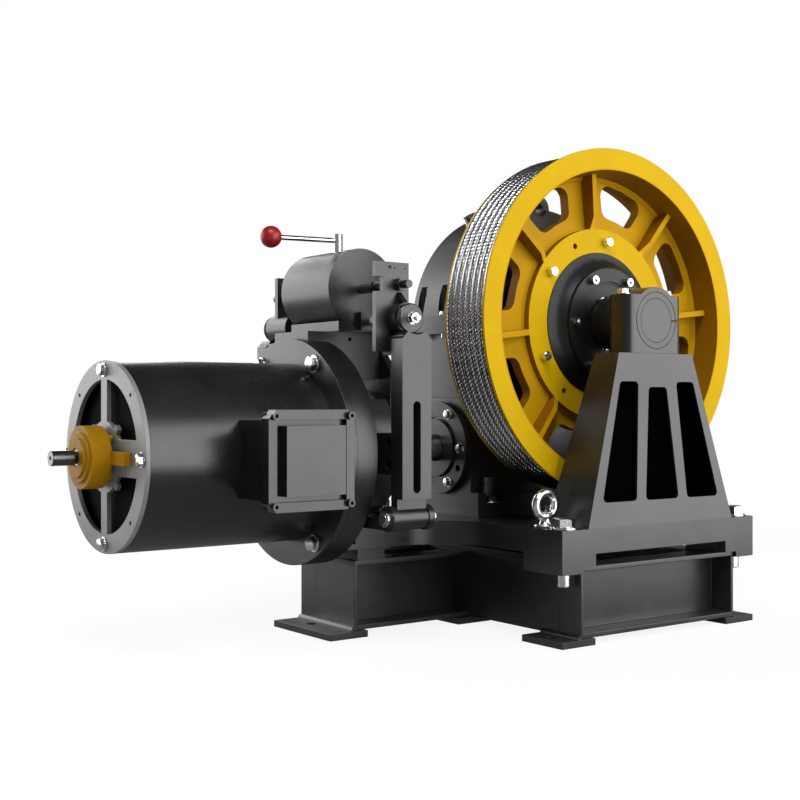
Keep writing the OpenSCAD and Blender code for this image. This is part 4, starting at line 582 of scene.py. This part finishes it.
def nutParts(d, height, foot, axis, spin, tip):
    # A nut, and the threaded end that stands out of its foot
    parts = [gridPart(place(hexPrism(bolt["across"] * d, height, True), foot, axis, spin), True)]
    if tip:
        parts.append(gridPart(place(threadEnd(d, bolt["threadEnd"] * d), foot, -axis), True))
    return parts


def widest(q, k, end, mid, reach):
    # Greatest distance from the solid's axis k of the points that lie within reach of one end
    near = q[np.abs(q[:, k] - end) < reach] - mid
    return np.linalg.norm(np.delete(near, k, 1), axis=1).max()


def makeFasteners(name, node, tips=False, grow=1.0):
    # Each long solid becomes a bolt whose head is at its wide end, each short one a nut
    parts = []
    for i, q in enumerate(looseSolids(node)):
        lo, hi = q.min(0), q.max(0)
        size, mid, spin = hi - lo, (lo + hi) / 2, (i * bolt["spin"]) % bolt["mostSpin"]
        thin, middle, long = np.argsort(size)
        isBolt = size[long] > bolt["longer"] * size[middle]
        k = long if isBolt else thin
        axis = np.zeros(3)
        axis[k] = 1
        if isBolt:
            d = size[middle] / 2
            if widest(q, k, lo[k], mid, 0.3 * d) > widest(q, k, hi[k], mid, 0.3 * d):
                axis = -axis
            shank = size[k] - d * (bolt["head"] + bolt["washer"])
            parts += boltParts(d * grow, shank, mid + axis * (shank - size[k] / 2), axis, spin)
        else:
            parts += nutParts(size[k] / bolt["nut"], size[k], mid - axis * size[k] / 2, axis, spin, tips)
    sharpen(makePiece(name, joinParts(parts), "zinc", node))


fasteners = {
    "bedBolts": {"node": "bed_bolts", "tips": True},
    "blockBolts": {"node": "block_bolts"},
    "pedestalBolts": {"node": "pedestal_bolts"},
    "hubBolts": {"node": "hub_bolts", "grow": 1.15},
    "housingBolts": {"node": "housing_bolts"},
    "capBolts": {"node": "cap_bolts"},
    "rearPlateBolts": {"node": "rear_plate_bolts"},
    "flangeBolts": {"node": "flange_bolts"},
}
for name, p in fasteners.items():
    makeFasteners(name, **p)
print("fasteners made")

# Eye bolts, in metres: the wire's radius and its swelling at the neck, how far the ring sinks, the collar's
# radius and thickness, the radii of the neck's foot and the shank, and the rounding of the collar; the swelling's
# spread is an angle round the ring in radians
eyeBolt = {"wire": 0.0072, "swell": 0.0022, "lower": 0.006, "inset": 0.0015, "collar": 0.020, "collarThick": 0.006,
           "neck": 0.011, "shank": 0.010, "soft": 0.002, "spread": 0.45}


def eyeBoltParts(p, foot, lo, hi):
    # Ring as a torus whose wire swells towards the neck as exp(-x^2), a neck that flares as a square, a rounded
    # collar and the shank
    ring = (hi[0] - lo[0]) / 2 - p["wire"] + p["inset"]
    mid = np.array([(lo[0] + hi[0]) / 2, (lo[1] + hi[1]) / 2, hi[2] - ring - p["wire"] - p["lower"]])
    u, v = circle(96)[:, None], circle(24)[None, :]
    wire = p["wire"] + p["swell"] * np.exp(-((u - np.pi) / p["spread"]) ** 2)
    reach = ring + wire * np.cos(v) - (wire - p["wire"])
    torus = np.stack([reach * np.sin(u), wire * np.sin(v) + 0 * u, reach * np.cos(u)], -1) + mid
    top = mid[2] - ring - foot
    c, k, soft = p["collar"], p["collarThick"], p["soft"]
    t = np.linspace(0, 1, 10)
    neck = np.stack([p["wire"] + (p["neck"] - p["wire"]) * (1 - t) ** 2 + p["inset"], k + (top - k) * t], -1)
    collar = [(0, 0), (c - 0.6 * soft, 0), (c, 0.6 * soft), (c, k - soft), (c - soft, k), (p["neck"] + 2 * soft, k)]
    shank = turned([(0, lo[2] - foot), (p["shank"], lo[2] - foot), (p["shank"], 0), (0, 0)], 24)
    base = np.array([mid[0], mid[1], foot])
    stem = turned(np.concatenate([collar, neck, [(0, top)]]))
    return [gridPart(torus, True, True), gridPart(stem + base, True), gridPart(shank + base, True)]


def makeEyeBolts(p):
    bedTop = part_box("bed")[1][2]
    parts = []
    for q in looseSolids("eye_bolts"):
        parts += eyeBoltParts(p, bedTop, q.min(0), q.max(0))
    sharpen(makePiece("eyeBolts", joinParts(parts), "zinc", "eye_bolts"), 50)


makeEyeBolts(eyeBolt)

# Spring rods, in metres: radii of the rod and its stud, how far the stud stands out of the disc, the disc's
# thickness and rounding, the washer's radius and thickness, and the nut's width across flats and height
springRod = {"rod": 0.008, "stud": 0.0055, "tip": 0.020, "disc": 0.006, "soft": 0.002, "washer": 0.0105,
             "washerThick": 0.002, "nutAcross": 0.018, "nut": 0.010}


def makeSpringRods(p):
    # Painted spring discs with a rolled edge; bright rods with a washer, a nut and a threaded tip outside them
    lo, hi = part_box("solenoid")
    brakeMiddle = (lo[1] + hi[1]) / 2
    discs, rods = [], []
    for q in looseSolids("spring_rods"):
        lo, hi = q.min(0), q.max(0)
        mid = (lo + hi) / 2
        out = -1 if mid[1] < brakeMiddle else 1
        axis = np.array([0, out, 0])
        end = np.array([mid[0], (lo if out < 0 else hi)[1], mid[2]])
        face = end - axis * p["tip"]
        inner = abs((hi if out < 0 else lo)[1] - face[1])
        r, t, w, soft = (hi[0] - lo[0]) / 2, p["disc"], p["washerThick"], p["soft"]
        rim = turned([(0, -t), (r - soft, -t), (r, -t + soft), (r, -soft), (r - soft, 0),
                      (r - 3 * soft, -0.3 * soft), (p["washer"] + 1.5 * soft, -0.5 * soft), (p["washer"], 0),
                      (0, 0)], 64)
        washer = turned([(0, 0), (p["washer"], 0), (p["washer"], w), (0, w)])
        nut = hexPrism(p["nutAcross"], p["nut"], True) + np.array((0, 0, w))
        tip = threadEnd(2 * p["stud"], p["tip"] - p["nut"] - w) + np.array((0, 0, w + p["nut"]))
        rod = turned([(0, -inner), (p["rod"], -inner), (p["rod"], -t), (0, -t)], 32)
        discs.append(gridPart(place(rim, face, axis), True))
        rods += [gridPart(place(s, face, axis, spin), True)
                 for s, spin in ((washer, 0.0), (nut, 0.4), (tip, 0.0), (rod, 0.0))]
    sharpen(makePiece("springDiscs", joinParts(discs), "castPaint", "spring_rods"))
    sharpen(makePiece("springRods", joinParts(rods), "zinc", "spring_rods"))


makeSpringRods(springRod)
print("eye bolts and spring rods made")

# Stage and light: three soft boxes that the front and left faces mirror, one lamp above the camera, a dim room.
# Distances in metres; a glow of 1 is white
floor = {"size": 30, "color": (0.38, 0.38, 0.38), "glow": 1.31, "seen": 0.67, "near": 1.6, "far": 3.6,
         "mirrored": 0.55, "mirrorGlow": 0.15, "pool": (1.0, -2.6), "poolCore": 1.2, "poolEdge": 2.1,
         "poolGlow": 3.9}
room = {"light": 0.15, "mirrorLow": 0.25, "mirrorHigh": 0.04, "horizon": (0.15, 0.6)}
lamps = {
    "frontBox": {"place": (1.9, -3.7, 1.75), "aim": (0.0, 0.0, 1.75), "size": (6.6, 3.5), "glow": 3.5},
    "leftBox": {"place": (-2.9, 3.1, 1.5), "aim": (0.0, 0.0, 1.5), "size": (4.0, 3.0), "glow": 2.7},
    "backBox": {"place": (-0.2, 4.3, 1.7), "aim": (0.0, 0.0, 1.7), "size": (3.2, 3.4), "glow": 3.6},
    "topLamp": {"place": (-1.7, -1.9, 3.9), "aim": (0.0, 0.0, 0.3), "size": (1.8, 1.8), "glow": 9.0},
}


def makeFloor(p):
    # Camera rays see an even glow that takes the shadow's share from the lit colour; far away it is plain white.
    # Mirrors see a dim floor with one bright pool in front
    f = Finish("floorPaint")
    half = p["size"] / 2
    corners = [(x, y, 0.0) for x in (-half, half) for y in (-half, half)]
    mesh = bpy.data.meshes.new("floor")
    mesh.from_pydata(corners, [], [(0, 2, 3, 1)])
    obj = bpy.data.objects.new("floor", mesh)
    bpy.context.scene.collection.objects.link(obj)
    x, y, z = f.axes(f.place)
    away = ((x * x + y * y) ** 0.5).step(p["near"], p["far"])
    camera, glossy, through = lightPath(f.tree)
    poolX, poolY = x - p["pool"][0], y - p["pool"][1]
    pool = glossy * (1 - ((poolX * poolX + poolY * poolY) ** 0.5).step(p["poolCore"], p["poolEdge"]))
    share = camera * (away * (1 - p["seen"]) + p["seen"]) + through * p["seen"]
    share = share + glossy * p["mirrored"] + pool * (1 - p["mirrored"])
    even = away * (1 - p["glow"]) + p["glow"]
    strength = even + glossy * (p["mirrorGlow"] - even) + pool * (p["poolGlow"] - p["mirrorGlow"])
    glow = f.node("ShaderNodeEmission", values={"Strength": strength})
    f.done(color=p["color"], rough=0.9)
    both = f.node("ShaderNodeMixShader", values={0: share})
    for i, surface in ((1, f.bsdf.outputs[0]), (2, glow.socket)):
        f.tree.links.new(surface, both.socket.node.inputs[i])
    f.tree.links.new(both.socket, f.tree.nodes["Material Output"].inputs[0])
    mesh.materials.append(f.mat)


def makeLamp(name, p):
    # A level soft box: its power is pi times its area times its glow
    data = bpy.data.lights.new(name, "AREA")
    data.shape, data.size, data.size_y = "RECTANGLE", p["size"][0], p["size"][1]
    data.energy = math.pi * p["size"][0] * p["size"][1] * p["glow"]
    obj = bpy.data.objects.new(name, data)
    obj.location = p["place"]
    way = np.array(p["aim"]) - np.array(p["place"])
    obj.rotation_euler = (math.atan2(math.hypot(way[0], way[1]), -way[2]), 0, math.atan2(way[0], -way[1]) + math.pi)
    obj.visible_camera = False
    bpy.context.scene.collection.objects.link(obj)


def makeWorld(p):
    # White where the camera looks past the floor; mirrors see a pale horizon under a dark ceiling
    world = bpy.data.worlds.new("studio")
    bpy.context.scene.world = world
    world.use_nodes = True
    tree = world.node_tree
    back = tree.nodes["Background"]
    camera, glossy, through = lightPath(tree)
    split = tree.nodes.new("ShaderNodeSeparateXYZ")
    tree.links.new(tree.nodes.new("ShaderNodeTexCoord").outputs["Generated"], split.inputs[0])
    high = abs(Sock(tree, split.outputs[2])).step(*p["horizon"])
    mirror = high * (p["mirrorHigh"] - p["mirrorLow"]) + p["mirrorLow"]
    strength = p["light"] + (camera + through) * (1 - p["light"]) + glossy * (mirror - p["light"])
    put(tree, back.inputs["Strength"], strength)
    back.inputs["Color"].default_value = (1, 1, 1, 1)


makeFloor(floor)
for n, p in lamps.items():
    makeLamp(n, p)
makeWorld(room)
print("stage and light made")

print("done")
